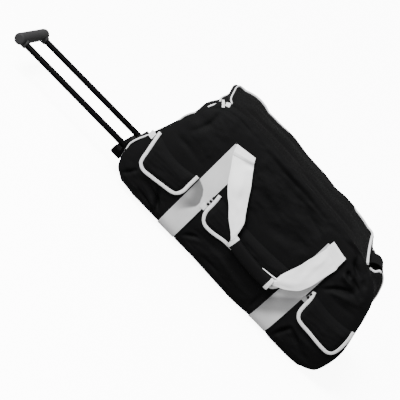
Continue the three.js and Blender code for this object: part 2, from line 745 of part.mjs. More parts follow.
// Trolley handle: two rods and a moulded grip, sliding in tubes fixed between bezel and wheel chassis
function trolley() {
  const middle = (ROD.outerEnd + ROD.innerEnd) / 2;
  const rods = { rod_near: -ROD.spread, rod_far: ROD.spread };
  const outline = new THREE.Shape();
  const [d, h, r] = [GRIP.depth / 2, GRIP.height / 2, 11];
  outline.moveTo(-d + r, -h);
  outline.lineTo(d - r, -h);
  outline.absarc(d - r, -h + r, r, -Math.PI / 2, 0);
  outline.absarc(d - r, h - r, r, 0, Math.PI / 2);
  outline.absarc(-d + r, h - r, r, Math.PI / 2, Math.PI);
  outline.absarc(-d + r, -h + r, r, Math.PI, 1.5 * Math.PI);
  const bar = new THREE.ExtrudeGeometry(outline, {
    depth: GRIP.width - 12,
    bevelEnabled: true,
    bevelThickness: 6,
    bevelSize: 5,
    bevelOffset: -5,
    bevelSegments: 2,
    curveSegments: 3,
  });
  bar.translate(0, 0, -(GRIP.width - 12) / 2).rotateX(Math.PI / 2).translate(GRIP.inner - d, 0, ROD.z);
  let grip = solidOf(bar);
  for (const y of Object.values(rods)) {
    const collar = barAlong("x", ROD.radius + 3.5, 22, V(GRIP.inner + 2, y, ROD.z), 16);
    grip = grip.add(solidOf(collar));
  }
  for (const y of Object.values(rods)) {
    const length = 40;
    const socket = barAlong(
      "x",
      ROD.radius + GRIP.socketClearance,
      length,
      V(ROD.outerEnd - GAP + length / 2, y, ROD.z),
      16,
    );
    grip = grip.subtract(solidOf(socket));
  }
  addPiece("trolley_grip", geometryOf(grip), MATERIAL.grip);
  for (const [name, y] of Object.entries(rods)) {
    const rod = barAlong("x", ROD.radius, ROD.innerEnd - ROD.outerEnd, V(middle, y, ROD.z), 16);
    addPiece(name, rod, MATERIAL.rod);
  }
  const tubeLength = CHASSIS.inner - BEZEL.inner - 2 * GAP;
  for (const [name, y] of [["guide_tube_near", -ROD.spread], ["guide_tube_far", ROD.spread]]) {
    const centre = V((CHASSIS.inner + BEZEL.inner) / 2, y, ROD.z);
    const wall = solidOf(barAlong("x", TUBE.outer, tubeLength, centre, 16));
    const hole = solidOf(barAlong("x", TUBE.inner, tubeLength + 10, centre, 16));
    addPiece(name, geometryOf(wall.subtract(hole)), MATERIAL.plastic);
  }
}
trolley();

// Bezel: the moulding in the handle end that the rods come out of, with a lip under the parked grip
function bezel() {
  const block = boxBetween(
    V(BEZEL.outer, -BEZEL.halfWidth, BEZEL.low),
    V(BEZEL.inner, BEZEL.halfWidth, BEZEL.high),
  );
  const lipOutline = new THREE.Shape();
  const [y, c] = [LIP.halfWidth, LIP.corner];
  lipOutline.moveTo(BEZEL.outer + 12, -y);
  lipOutline.lineTo(BEZEL.outer + 12, y);
  lipOutline.lineTo(LIP.outer + c, y);
  lipOutline.absarc(LIP.outer + c, y - c, c, Math.PI / 2, Math.PI);
  lipOutline.absarc(LIP.outer + c, -y + c, c, Math.PI, 1.5 * Math.PI);
  const lip = new THREE.ExtrudeGeometry(lipOutline, {
    depth: LIP.high - LIP.low,
    bevelEnabled: false,
    curveSegments: 4,
  });
  let solid = solidOf(block).add(solidOf(lip.translate(0, 0, LIP.low)));
  for (const side of [-1, 1]) {
    const length = BEZEL.inner - BEZEL.outer + 60;
    const centre = V((BEZEL.inner + BEZEL.outer) / 2, side * ROD.spread, ROD.z);
    solid = solid.subtract(solidOf(barAlong("x", BEZEL.bore, length, centre, 16)));
  }
  addPiece("handle_bezel", geometryOf(solid), MATERIAL.plastic);
}
bezel();

// Wheel chassis: the moulded corner that fills the bottom of the wheel end and holds the wheels
function chassis() {
  const top = levelOfHeight(CHASSIS.top, LEVELS[3].wheelReach);
  const steps = 7;
  const rings = range(steps + 1).map((k) => {
    const level = levelAt((k / steps) * top);
    const z = k === steps ? CHASSIS.top : leanedHeight(level.z, level.wheelReach);
    const [reach, half] = [level.wheelReach - 1, level.halfWidth - CORNER_DROP - FABRIC - 5 * GAP];
    return [V(CHASSIS.inner, -half, z), V(reach, -half, z), V(reach, half, z), V(CHASSIS.inner, half, z)];
  });
  const block = sweptGeometry(rings);
  let solid = solidOf(block);
  for (const side of [-1, 1]) {
    const wellRadius = WHEEL.radius + CHASSIS.wellClearance;
    const width = WHEEL.width + 2 * CHASSIS.wellClearance;
    const well = new THREE.CylinderGeometry(wellRadius, wellRadius, width, 20);
    const mouth = boxBetween(
      V(WHEEL.x, side * WHEEL.y - width / 2, -20),
      V(WHEEL.x + 80, side * WHEEL.y + width / 2, WHEEL.radius),
    );
    well.translate(WHEEL.x, side * WHEEL.y, WHEEL.radius);
    solid = solid.subtract(solidOf(well)).subtract(solidOf(mouth));
    const axleLength = WHEEL.width + 2 * CHASSIS.wellClearance + 12;
    const holeRadius = WHEEL.axleRadius + GAP;
    const axleHole = new THREE.CylinderGeometry(holeRadius, holeRadius, axleLength + 2 * GAP, 12);
    solid = solid.subtract(solidOf(axleHole.translate(WHEEL.x, side * WHEEL.y, WHEEL.radius)));
    const axle = new THREE.CylinderGeometry(WHEEL.axleRadius, WHEEL.axleRadius, axleLength, 12);
    const word = side < 0 ? "near" : "far";
    addPiece(`axle_${word}`, axle.translate(WHEEL.x, side * WHEEL.y, WHEEL.radius), MATERIAL.rod);
    wheel(word, side);
  }
  addPiece("wheel_chassis", geometryOf(solid), MATERIAL.plastic);
}

// A wheel: a rubber tyre on a plastic hub, turned about the axle
function wheel(word, side) {
  const half = WHEEL.width / 2;
  const tyre = [
    [WHEEL.hubRadius + GAP, -half + 1],
    [WHEEL.radius - 4, -half],
    [WHEEL.radius, -half + 5],
    [WHEEL.radius, half - 5],
    [WHEEL.radius - 4, half],
    [WHEEL.hubRadius + GAP, half - 1],
    [WHEEL.hubRadius + GAP, -half + 1],
  ];
  const bore = WHEEL.axleRadius + GAP;
  const hub = [
    [bore, -half - 1.5],
    [bore + 5, -half - 1.5],
    [bore + 6, -half + 4],
    [WHEEL.hubRadius - 3, -half + 3],
    [WHEEL.hubRadius, -half + 1],
    [WHEEL.hubRadius, half - 1],
    [WHEEL.hubRadius - 3, half - 3],
    [bore + 6, half - 4],
    [bore + 5, half + 1.5],
    [bore, half + 1.5],
    [bore, -half - 1.5],
  ];
  for (const [name, profile, look] of [["tyre", tyre, MATERIAL.rubber], ["hub", hub, MATERIAL.plastic]]) {
    const lathe = new THREE.LatheGeometry(profile.map(([r, y]) => new THREE.Vector2(r, y)), 16);
    const solid = solidOf(lathe);
    const turned = solid.volume() < 0 ? solidOf(lathe.clone().scale(1, -1, 1)) : solid;
    const geometry = geometryOf(turned).translate(WHEEL.x, side * WHEEL.y, WHEEL.radius);
    addPiece(`${name}_${word}`, geometry, look);
  }
}
chassis();

// Feet under the handle end
for (const [word, side] of [["near", -1], ["far", 1]]) {
  const outline = new THREE.Shape();
  const [half, r] = [FOOT.length / 2, 7];
  outline.moveTo(-half + 12, 0);
  outline.lineTo(half - 12, 0);
  outline.quadraticCurveTo(half - r, 0, half, BASE_Z - GAP);
  outline.lineTo(-half, BASE_Z - GAP);
  outline.quadraticCurveTo(-half + r, 0, -half + 12, 0);
  const foot = new THREE.ExtrudeGeometry(outline, {
    depth: FOOT.width,
    bevelEnabled: false,
    curveSegments: 4,
  });
  foot.rotateX(Math.PI / 2).translate(FOOT.x, side * FOOT.y + FOOT.width / 2, 0);
  addPiece(`foot_${word}`, foot, MATERIAL.plastic);
}

// The origin is the middle of the footprint, on the floor
const part = new THREE.Group();
part.add(bag);
const box = new THREE.Box3().setFromObject(bag);
bag.position.x = -(box.min.x + box.max.x) / 2;

export default part;
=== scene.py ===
"""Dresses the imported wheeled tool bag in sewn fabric, webbing, bindings, zips and moulded parts."""
import math

import bpy
import numpy as np
from bpy.props import FloatProperty, FloatVectorProperty, PointerProperty
from mathutils import Matrix, Vector, noise


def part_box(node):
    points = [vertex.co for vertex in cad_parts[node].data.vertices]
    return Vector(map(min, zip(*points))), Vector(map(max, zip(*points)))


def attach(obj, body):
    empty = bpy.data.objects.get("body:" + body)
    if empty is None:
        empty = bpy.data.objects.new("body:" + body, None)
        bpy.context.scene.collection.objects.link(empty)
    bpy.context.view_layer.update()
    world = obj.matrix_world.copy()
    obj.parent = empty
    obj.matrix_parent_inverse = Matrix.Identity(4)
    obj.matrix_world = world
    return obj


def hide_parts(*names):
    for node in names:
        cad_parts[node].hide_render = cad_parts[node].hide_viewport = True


bl_info = {
    "name": "Wheeled Tool Bag",
    "version": (1, 0, 0),
    "blender": (4, 5, 0),
    "location": "View3D > Sidebar > Tool Bag",
    "description": "Dresses a wheeled tool bag in sewn fabric, webbing, zips and moulded parts",
    "category": "Object",
}

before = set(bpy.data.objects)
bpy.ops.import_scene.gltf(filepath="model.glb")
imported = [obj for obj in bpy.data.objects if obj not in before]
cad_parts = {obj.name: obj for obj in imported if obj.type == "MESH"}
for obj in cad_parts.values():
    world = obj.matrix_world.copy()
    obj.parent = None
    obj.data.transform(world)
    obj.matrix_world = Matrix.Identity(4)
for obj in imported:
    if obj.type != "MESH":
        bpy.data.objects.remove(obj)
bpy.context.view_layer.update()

# The bag's own frame: millimetres, measured along the bag from the middle of its body
MM = 0.001
WHEEL_X = 300.0
tyre_low, tyre_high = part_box("tyre_near")
BAG_X = (tyre_low[0] + tyre_high[0]) / 2 - WHEEL_X * MM

BASE_Z = 10.0
CORNER_DROP = 14.0  # how far the upright corners are drawn in
FRONT, BACK = -1, 1
HANDLE_END, WHEEL_END = -1, 1

# The bag's form, from base edge to rim: z, half width, reach at the handle end (front and back),
# swell of that end, reach at the wheel end (front), swell of that end, reach at the wheel end (back)
LEVELS = np.array([
    [10, 120, 300, 298, 0, 306, 0, 299],
    [22, 129, 314, 311, -2, 328, 1, 320],
    [40, 134.5, 333, 321, -4, 341, 2, 334],
    [85, 139, 345, 328, -7, 348, 3, 346],
    [130, 140, 333, 311, -9, 347, 3, 353],
    [185, 138, 313, 283, -12, 334, 0, 353],
    [235, 133, 295, 262, -14, 321, -10, 343],
    [275, 126, 278, 252, -12, 305, -25, 318],
    [300, 116, 263, 257, -6, 279, -19, 252],
    [311, 104, 246, 271, 0, 246, -2, 227],
], float)

# The columns of that table
HEIGHT, HALF_WIDTH = 0, 1
REACH = {(HANDLE_END, FRONT): 2, (HANDLE_END, BACK): 3, (WHEEL_END, FRONT): 5, (WHEEL_END, BACK): 7}
SWELL = {HANDLE_END: 4, WHEEL_END: 6}
# The rim: how far it leans down and sags towards its ends, and how far it is crowned
RIM = {"half_length": 247.0, "lean": 19.0, "sag": 4.0, "crown": 18.0}

# The slack cloth's uneven edges: how far it rises along the back of the rim and above the base edge
RIM_WAVE = np.array([
    [-271, 4], [-254, 6], [-220, 6], [-203, 4.5], [-169, -2.5], [-136, -2], [-102, 1], [-85, 2], [-68, 1],
    [-34, -2], [0, -1], [31, 1], [77, -1], [92, 2], [108, 5], [138, 7], [154, 4.5], [200, 6], [215, 11],
    [231, 14], [246, 14],
], float)
BASE_WAVE = np.array([
    [-300, 1], [-281, 4], [-225, 5], [-169, 5], [-131, 3.5], [-112, 0], [-56, 0], [0, -2.5], [37, -4],
    [75, -5.5], [112, -3.5], [150, 0], [187, -0.5], [206, -4.5], [262, -6], [299, -6.5],
], float)

# The top of the handle end is pushed out from a level upwards, and is roundest about another level
SHOULDER_BULGE = {"out": 14.0, "level": 0.6, "rise": 0.17}
SHOULDER_PUFF = {"out": 8.0, "level": 0.775, "reach": 0.06}

STRAPS = {"left": (-146.0, 287.0), "right": (163.0, 277.0)}  # middle along the bag, top
# The sharp edge of the painted shade on the left strap: height, place along the bag
PAINTED_SHADE_EDGE = np.array([
    [70, -150], [98, -137], [112, -132], [127, -133], [145, -141], [156, -150], [166, -172],
], float)
STRAP_TILT = {"left": 7.0, "right": 4.0}  # how much higher the wheel side of a strap's top is
STRAP_UNDER = (0.45, 0.55)  # the share of a strap's length that passes under the base
STRAP_UNDER_HALF = 116.0  # half the width of the base there
WEB_WIDTH = 52.0
FLAPS = {"left": (-314.0, -177.0), "middle": (-109.0, 133.0), "right": (204.0, 330.0)}
FLAP_TOP, FLAP_BOTTOM = 175.0, 88.0
# The middle of each flap's binding, from the zip's end round the free edge, then the numbers of the two
# points where it turns, and the sag of the hinge
FLAP_LINES = {
    "left": ([
        [-311, 173], [-310, 166], [-306, 146], [-301, 119], [-297.5, 99], [-291, 89], [-277, 84],
        [-254, 87], [-224, 92], [-200, 96], [-187, 103], [-180, 117], [-179.5, 140], [-179, 166],
    ], (5, 10), 13.0),
    "middle": ([
        [-112, 172], [-110, 157], [-109, 142], [-109, 130], [-107.5, 120], [-104, 112], [-98, 104.5],
        [-90, 99], [-79, 97], [-64, 98], [-48, 101], [-33, 104], [-10, 105], [40, 105], [90, 103],
        [112, 104], [124, 111], [130, 124], [131, 140], [131, 168],
    ], (6, 16), 8.0),
    "right": ([
        [197, 172], [202, 158], [204, 144], [205, 129], [208, 114], [215, 104], [224, 99], [237, 97],
        [255, 96], [274, 94], [293, 92], [308, 91], [320, 92], [328, 98], [332, 108], [333, 122],
        [332, 136], [330, 152], [327, 167],
    ], (5, 13), 7.0),
}
# The turned-in ends of the pocket zips: place along the bag, low end, high end, end of the teeth, cloth
ZIP_ENDS = {
    "left": (-321.5, 147.0, 163.0, 163.0, "white trim"),
    "middle": (-121.0, 120.0, 134.0, 160.0, "white trim"),
    # The right zip end's tape is greyed as a painted shadow of the carry handle
    "right": (193.5, 138.0, 149.0, 172.0, "grey tape"),
}
ZIP_TAPE = {"wide": 13.0, "narrow": 7.0, "shift": 3.0, "lift": 4.4, "thickness": 1.6}
ZIP_TOOTH = {"pitch": 9.5, "half_length": 2.9, "width": 6.6, "thickness": 2.8, "lift": 4.8}
TRIM_WIDTH, TRIM_THICKNESS = 9.0, 5.0
# The width of a band's face and how far in its stitches lie, in metres
WEB_STITCHES = (WEB_WIDTH * MM, 0.0035)
TRIM_STITCHES = (0.013, 0.0045)
LID_CROWN = 5.0
LID_PIPING = {HANDLE_END: 1.8, WHEEL_END: 3.3}  # radius beside each end
LID_PIPING_RISE = 1.6  # how far it stands above the lid there
# The piping along the back of the lid: place, radius, rise, and how far it has slipped behind the edge
LID_BACK_PIPING = np.array([
    [-262, 3.0, 2.2, 0], [-188, 3.0, 2.2, 0], [-170, 1.7, 1.0, -5], [-118, 1.7, 1.0, -5],
    [-92, 2.2, -2.4, 8], [118, 2.2, -2.4, 8], [165, 3.0, 1.8, 0], [250, 3.2, 1.8, 0],
], float)
ZIP_COIL = {"half_width": 2.6, "half_height": 1.5, "ridge": 0.3, "steps": 420}
# White tape folded over the ends of the zip at the handle end: width, and the line it follows
ZIP_TABS = (
    ("inner", 11.0, (-250, -92, 327), (-248, -97, 325.5), (-246.5, -103, 321)),
    ("outer", 7.0, (-264, -95, 323), (-258, -101, 320.5), (-251, -108, 314.5)),
)
ZIP_TAB_THICKNESS, ZIP_TAB_UP = 2.4, (-0.3, -0.5, 0.8)
# Where the piping of the handle end stands out of its seam beside the front: level, reach
PIPING_SHOWN = ((0.39, 0.055), (0.657, 0.035), (0.812, 0.013))
WHEEL_END_TUCK = 3.0  # how deep the piping of the wheel end lies in its seam, all but the back edge
# Where the wheel end's panel and its piping stop above the chassis, and the place along the bag there
WHEEL_END_HEM = {"panel": 78.35, "piping": 80.5, "x": 340.0}
# The window for the handle's moulding: its sill, and how far the cloth reaches over the moulding's edges
WINDOW = {"sill": 45.0, "beside": 6.0, "above": 3.0}
GRAB_LOOP = {"width": 56.0, "trim": 7.0, "middle": -34.7, "length": 90.0, "thickness": 2.2}
GRAB_ROOTS = (0.975, 0.935)  # the levels where its two ends are sewn on
ROD = {"spread": 62.5, "z": 64.0}
# The bar of the trolley grip, in metres: radius, rounding of its ends, and its place in the grip's box
GRIP_BAR = {"radius": 0.0148, "soft": 0.006, "from_end": 0.010, "raised": 0.004}
AXLE_RADIUS, AXLE_PLAY, TYRE_INNER = 4.0, 0.4, 20.4

# The seam below the rim of front and back, as places along the bag and heights
TOP_SEAM = np.array([
    [-297, 232], [-289, 257], [-283, 272], [-277, 285], [-268, 298], [-254, 310], [-237, 318],
    [-215, 322.5], [-192, 324], [-165, 323], [-123, 320], [-81, 315], [-24, 313], [26, 313], [80, 306],
    [130, 304], [163, 302], [193, 305], [207, 301], [225, 288], [243, 272], [262, 254], [277, 236],
], float)
# Where that seam is pulled in: place, reach, depth
SEAM_PULLS = ((5, 60, 4.0), (-215, 45, 3.0), (198, 26, 5.0))
SEAM = {"width": 4.6, "swell": 2.2, "above": 12.0, "reach": 8.0}  # its groove, and the swell above it

# Folds of the front: from (x, z) to (x, z), depth (in is negative), half width, sideways bow
FRONT_FOLDS = [
    (-313, 31, -290, 69, -5.5, 4.5, 0),
    (-255, 35, -192, 26, -5.0, 5, 0),
    (-232, 86, -188, 23, -6.5, 5, 0),
    (-260, 66, -189, 36, -5.5, 5, 5),
    (-226, 46, -182, 22, 3.5, 8, 2),
    (-205, 22, -176, 12, -4.5, 5, 0),
    (-300, 118, -318, 84, -4.0, 8, 0),
    (-265, 228, -246, 302, -3.6, 7, -8),
    (-292, 206, -190, 186, -4.0, 9, -3),
    (-278, 246, -190, 220, 3.5, 14, 4),
    (-117, 24, -71, 60, -5.5, 5, 6),
    (-107, 58, 111, 93, -3.5, 11, 13),
    (-24, 63, 114, 47, 4.5, 9, 1),
    (-60, 34, 60, 28, -3.0, 8, 0),
    (127, 21, 123, 83, -9.0, 6, 0),
    (-30, 297, 104, 287, -5.0, 10, 3),
    (30, 283, 112, 272, -4.5, 8, 3),
    (-110, 326, 60, 317, 4.0, 8, 0),
    (-74, 240, 40, 226, -2.5, 16, 6),
    (-4, 190, 110, 226, -3.0, 15, 4),
    (20, 168, 118, 190, 2.5, 14, 4),
    (-88, 270, -6, 250, 2.5, 14, 4),
    (204, 290, 243, 267, -8.0, 6, 0),
    (215, 260, 230, 249, -6.0, 5, 0),
    (210, 246, 253, 240, 6.0, 6, 0),
    (236, 255, 267, 242, -6.0, 5, 0),
    (255, 270, 272, 256, -5.0, 5, 0),
    (201, 185, 261, 231, -8.0, 6.5, 5),
    (200, 198, 291, 219, 4.5, 9, 0),
    (212, 172, 309, 191, -4.5, 8, 5),
    (208, 19, 225, 69, -8.0, 6, 3),
    (225, 69, 262, 50, -5.0, 6, 0),
    (206, 78, 322, 62, 3.5, 10, 0),
    (262, 50, 312, 32, -4.0, 9, 0),
]
BACK_FOLDS = [
    (-292, 64, -188, 40, -6.0, 10, 4),
    (-256, 230, -192, 258, -5.0, 10, 4),
    (-262, 150, -190, 196, 4.0, 14, 6),
    (-96, 150, 108, 120, -6.0, 13, 8),
    (-90, 120, 100, 92, 4.0, 12, 6),
    (-80, 60, 112, 44, -5.5, 12, 4),
    (-84, 246, 96, 262, -6.0, 12, -6),
    (-70, 220, 90, 234, 4.0, 12, -5),
    (206, 250, 290, 200, -6.0, 10, 9),
    (206, 120, 322, 146, -5.0, 12, 5),
    (206, 60, 310, 40, -5.0, 11, 3),
]
# Folds of the ends, across (y) and up (z)
HANDLE_END_FOLDS = [
    (-96, 120, 20, 190, -6.0, 12, 6),
    (-80, 100, 40, 170, 4.0, 12, 6),
    (96, 140, -10, 220, -5.5, 12, -6),
    (-70, 262, 74, 250, -5.0, 12, 5),
    (-60, 232, 60, 226, 3.5, 12, 4),
    (-100, 60, -92, 130, -3.5, 9, 2),
]
WHEEL_END_FOLDS = [
    (-104, 210, 20, 166, -6.0, 12, 6),
    (-100, 184, 30, 140, 4.0, 12, 6),
    (104, 220, 0, 150, -5.0, 13, -7),
    (-70, 250, 84, 242, -5.0, 10, 5),
    (-80, 112, 84, 104, -4.0, 11, 3),
]
LID_FOLDS = [
    (-210, -62, -20, -40, -3.5, 15, 8),
    (-190, -20, 30, 24, 2.5, 20, 8),
    (-30, -66, 180, -50, -3.5, 14, -5),
    (20, 10, 200, 44, -3.0, 18, 8),
    (-200, 50, -40, 62, -3.0, 15, -5),
    (-226, -84, -160, 60, 2.5, 16, 6),
]

# The carry handle's webbing, as the places of its two edges on the panel and its stand-off
HANDLE_EDGES = np.array([
    [-169, 284, -117, 291, 4.6],
    [-159, 262, -109, 278, 6.2],
    [-140, 236, -93, 258, 9.0],
    [-121, 209, -76, 237, 12.0],
    [-101, 189, -66, 222, 14.5],
    [-82, 174, -53, 204, 16.5],
    [-67, 159, -41, 187, 18.0],
    [-54, 148, -30, 173, 19.5],
    [-37, 136, -24, 155, 20.5],
    [-27, 127, -20, 140, 21.0],
    [-12, 115, -10, 131, 21.0],
    [28, 109, 28, 125, 21.0],
    [70, 106, 70, 122, 21.0],
    [104, 106, 104, 122, 21.0],
    [118, 118, 113, 134, 21.0],
    [142, 130, 114, 149, 20.5],
    [157, 141, 119, 167, 19.0],
    [168, 151, 126, 187, 17.0],
    [174, 162, 130, 201, 15.0],
    [181, 182, 132, 213, 12.5],
    [186, 212, 138, 238, 9.5],
    [192, 243, 142, 261, 6.6],
    [190, 251, 141, 267, 6.2],
    [189, 275, 143, 284, 4.6],
], float)
HANDLE_LENGTH = 600.0
# The left strand swells, and is creased below its fold: share of its length, reach, height
STRAND_SWELL = (0.15, 0.055, 7.0)
STRAND_CREASE = (0.052, 0.013, 3.2)
FOLD_DEPTH = (0.038, 0.045)  # share of the handle's length folded over and sewn at its two ends
FOLD_LENGTH = 24.0
GRIP_LINE = np.array([[-21, 124], [-10, 122.5], [28, 117], [70, 114], [104, 114], [114, 114.5]], float)
GRIP_LIFT = 20.0  # how far the grip's middle stands off the panel
GRIP_WRAP = (30.0, 17.0)  # its width and depth
GRIP_BINDING = 9.5  # width of the binding round each of its ends
# The edge of the folded webbing that shows above the grip, and how far it stands off
GRIP_EDGE_LINE = np.array([[74, 130], [90, 131.5], [105, 133.5], [117, 136]], float)
GRIP_EDGE_LIFT = 22.0

# Steps along and across the cloth of each kind of piece
GRIDS = {
    "long panel": (260, 132), "end panel": (96, 120), "lid": (130, 64), "strap": (300, 26),
    "carry handle": (200, 16), "handle fold": (14, 16), "flap": (80, 60), "wide flap": (110, 60),
    "zip tape": (8, 40), "grab loop": (60, 16),
}
WRINKLE_PITCH = 17.0
WIDE_FLAP = 200.0

# The studio: places in metres, the camera's aim and distance in the bag's own frame
TOP_LIGHT = (-1.1, -0.7, 1.5)
KEY_LIGHT = (-1.25, -1.55, 1.25)
KEY_AIM = (BAG_X - 0.05, -0.1, 0.16)
CAMERA = {"aim": (-137.5, -137.5, 129.0), "distance": 2309.0, "pitch": 18.8, "roll": 45.6, "sensor": 36.0}


class ClothSettings(bpy.types.PropertyGroup):
    """Fabric of the panels, lid and flaps."""

    fabric: FloatVectorProperty(
        name="Fabric colour", description="Colour of the woven black fabric", subtype="COLOR",
        default=(0.003, 0.003, 0.0031), min=0, max=1)
    wall: FloatProperty(
        name="Fabric thickness", description="Thickness of a sewn panel", unit="LENGTH",
        default=0.0024, min=0.001)
    weave: FloatProperty(
        name="Weave pitch", description="Distance between two threads", unit="LENGTH",
        default=0.0011, min=0.0002)
    wrinkle: FloatProperty(
        name="Wrinkle depth", description="Depth of the small wrinkles between the folds", unit="LENGTH",
        default=0.0016, min=0)


class WebbingSettings(bpy.types.PropertyGroup):
    """White webbing, bindings and piping."""

    white: FloatVectorProperty(
        name="Webbing colour", description="Colour of webbing, bindings and piping", subtype="COLOR",
        default=(0.66, 0.66, 0.663), min=0, max=1)
    thickness: FloatProperty(
        name="Webbing thickness", description="Thickness of the webbing", unit="LENGTH",
        default=0.002, min=0.0005)
    rib: FloatProperty(
        name="Rib pitch", description="Distance between two ribs of the webbing", unit="LENGTH",
        default=0.0018, min=0.0002)
    piping: FloatProperty(
        name="Piping radius", description="Radius of the piping in the end seams", unit="LENGTH",
        default=0.0021, min=0.0005)


class HardwareSettings(bpy.types.PropertyGroup):
    """Trolley handle, mouldings and wheels."""

    rod: FloatVectorProperty(
        name="Rod colour", description="Black paint of the handle's rods", subtype="COLOR",
        default=(0.0008, 0.0008, 0.0009), min=0, max=1)
    grip: FloatVectorProperty(
        name="Grip colour", description="Grey of the moulded grip", subtype="COLOR",
        default=(0.013, 0.013, 0.0135), min=0, max=1)
    plastic: FloatVectorProperty(
        name="Plastic colour", description="Black of the mouldings", subtype="COLOR",
        default=(0.0035, 0.0035, 0.0037), min=0, max=1)
    rubber: FloatVectorProperty(
        name="Rubber colour", description="Black of the tyres", subtype="COLOR",
        default=(0.006, 0.006, 0.006), min=0, max=1)
    rod_radius: FloatProperty(
        name="Rod radius", description="Radius of a handle rod", unit="LENGTH", default=0.0078, min=0.002)
    edge: FloatProperty(
        name="Edge rounding", description="Rounding of moulded edges", unit="LENGTH",
        default=0.0022, min=0.0002)


class StageSettings(bpy.types.PropertyGroup):
    """Floor, lights and camera."""

    floor: FloatVectorProperty(
        name="Floor colour", description="Colour of the studio floor", subtype="COLOR",
        default=(0.9, 0.9, 0.9), min=0, max=1)
    bounce: FloatProperty(
        name="Bounce", description="Share of the floor's light that reaches the bag", subtype="FACTOR",
        default=0.35, min=0, max=1)
    glow: FloatProperty(
        name="Glow", description="Light of the floor itself in the picture", default=9, min=0)
    key: FloatProperty(
        name="Key light", description="Power of the softbox at the handle end", subtype="POWER",
        default=70, min=0)
    top: FloatProperty(
        name="Top light", description="Strength of the even light from above", default=8, min=0)
    sky: FloatProperty(
        name="Sky", description="Strength of the even light from all round", default=0.9, min=0)
    lens: FloatProperty(
        name="Lens", description="Focal length on a 36 mm sensor, in millimetres", default=90, min=10)


def clamp01(v):
    return np.clip(v, 0.0, 1.0)


def ease(v):
    v = clamp01(v)
    return v * v * (3 - 2 * v)


def mix(a, b, share):
    return a + (b - a) * share


def bell(v, middle, reach):
    """A soft bump of height 1 about a middle."""
    return np.exp(-(((v - middle) / reach) ** 2))


def unit(v):
    return v / np.maximum(np.linalg.norm(v, axis=-1, keepdims=True), 1e-9)


def metres(points):
    """Points of the bag's own frame, in millimetres, as points of the scene."""
    placed = np.array(points, float) * MM
    placed[..., 0] += BAG_X
    return placed


def smooth_at(points, place):
    """The smooth curve through points, at places counted in points from the first."""
    last = len(points) - 1
    low = np.minimum(place.astype(int), last)
    w = (place - low)[..., None]
    p0, p1, p2, p3 = (points[np.clip(low + k, 0, last)] for k in (-1, 0, 1, 2))
    v0, v1 = (p2 - p0) / 2, (p3 - p1) / 2
    return (2 * p1 - 2 * p2 + v0 + v1) * w**3 + (-3 * p1 + 3 * p2 - 2 * v0 - v1) * w**2 + v0 * w + p1


# The bag's form


def levels_at(t):
    """The columns of LEVELS at level t, from base edge (0) to rim (1)."""
    place = clamp01(np.asarray(t, float)) * (len(LEVELS) - 1)
    return np.moveaxis(smooth_at(LEVELS, place), -1, 0)


def leaned_height(z, x):
    """The rim is crowned, and leans down from the handle end to the wheel end."""
    share = (z - BASE_Z) / (LEVELS[-1, HEIGHT] - BASE_Z)
    k = x / RIM["half_length"]
    lean = -RIM["lean"] * k - RIM["sag"] * k * k
    return z + share * lean + share**3 * RIM["crown"] * (1 - np.minimum(1, k**6))


def slack(points, t):
    """Lets the cloth rise and fall along the back of the rim and along the base edge."""
    x, y = points[..., 0], points[..., 1]
    behind = clamp01((y / LEVELS[-1, HALF_WIDTH] + 1) / 2) ** 2
    points[..., 2] += t**8 * behind * np.interp(x, *RIM_WAVE.T) + (1 - t) ** 12 * np.interp(x, *BASE_WAVE.T)
    return points


def long_reach(side, x, levels):
    """How far the front or back reaches from the middle, at the end that x lies towards."""
    return np.where(x > 0, levels[REACH[WHEEL_END, side]], levels[REACH[HANDLE_END, side]])


def long_base(side, s, t):
    """A point of the front or back: s runs from handle end to wheel end, t from base to rim."""
    levels = levels_at(t)
    x = s * long_reach(side, s, levels)
    depth = levels[HALF_WIDTH] - CORNER_DROP * np.abs(s) ** 10
    return slack(np.stack([x, side * depth, leaned_height(levels[HEIGHT], x)], -1), np.asarray(t, float))


def shoulder(t):
    """How far the handle end is pushed out at level t."""
    pushed = SHOULDER_BULGE["out"] * ease((t - SHOULDER_BULGE["level"]) / SHOULDER_BULGE["rise"])
    return pushed + SHOULDER_PUFF["out"] * bell(t, SHOULDER_PUFF["level"], SHOULDER_PUFF["reach"])


def end_base(end, q, t):
    """A point of an end: q runs from front to back, t from base to rim."""
    t = np.asarray(t, float)
    levels = levels_at(t)
    reach = mix(levels[REACH[end, FRONT]], levels[REACH[end, BACK]], (q + 1) / 2)
    x = end * (reach + levels[SWELL[end]] * (1 - q * q))
    if end == HANDLE_END:
        x = x - shoulder(t) * (1 - q**6)
    y = q * (levels[HALF_WIDTH] - CORNER_DROP)
    return slack(np.stack([x, y, leaned_height(levels[HEIGHT], x)], -1), t)


def outward(surface, a, b, away):
    """The direction square to a surface, on the side of another direction."""
    step = 2e-3
    a0, a1 = np.maximum(-1, a - step), np.minimum(1, a + step)
    b0, b1 = np.maximum(0, b - step), np.minimum(1, b + step)
    normal = unit(np.cross(surface(a1, b) - surface(a0, b), surface(a, b1) - surface(a, b0)))
    return np.where((normal @ np.array(away))[..., None] < 0, -normal, normal)


def long_out(side, s, t):
    return outward(lambda a, b: long_base(side, a, b), s, t, (0, side, 0.3))


def end_out(end, q, t):
    return outward(lambda a, b: end_base(end, a, b), q, t, (end, 0, 0.3))


def level_of_height(z, x):
    """The level whose cloth lies at a height, at a place along the bag."""
    z, x = np.broadcast_arrays(np.asarray(z, float), np.asarray(x, float))
    low, high = np.zeros(z.shape), np.ones(z.shape)
    for _ in range(26):
        middle = (low + high) / 2
        under = leaned_height(levels_at(middle)[HEIGHT], x) < z
        low, high = np.where(under, middle, low), np.where(under, high, middle)
    return (low + high) / 2


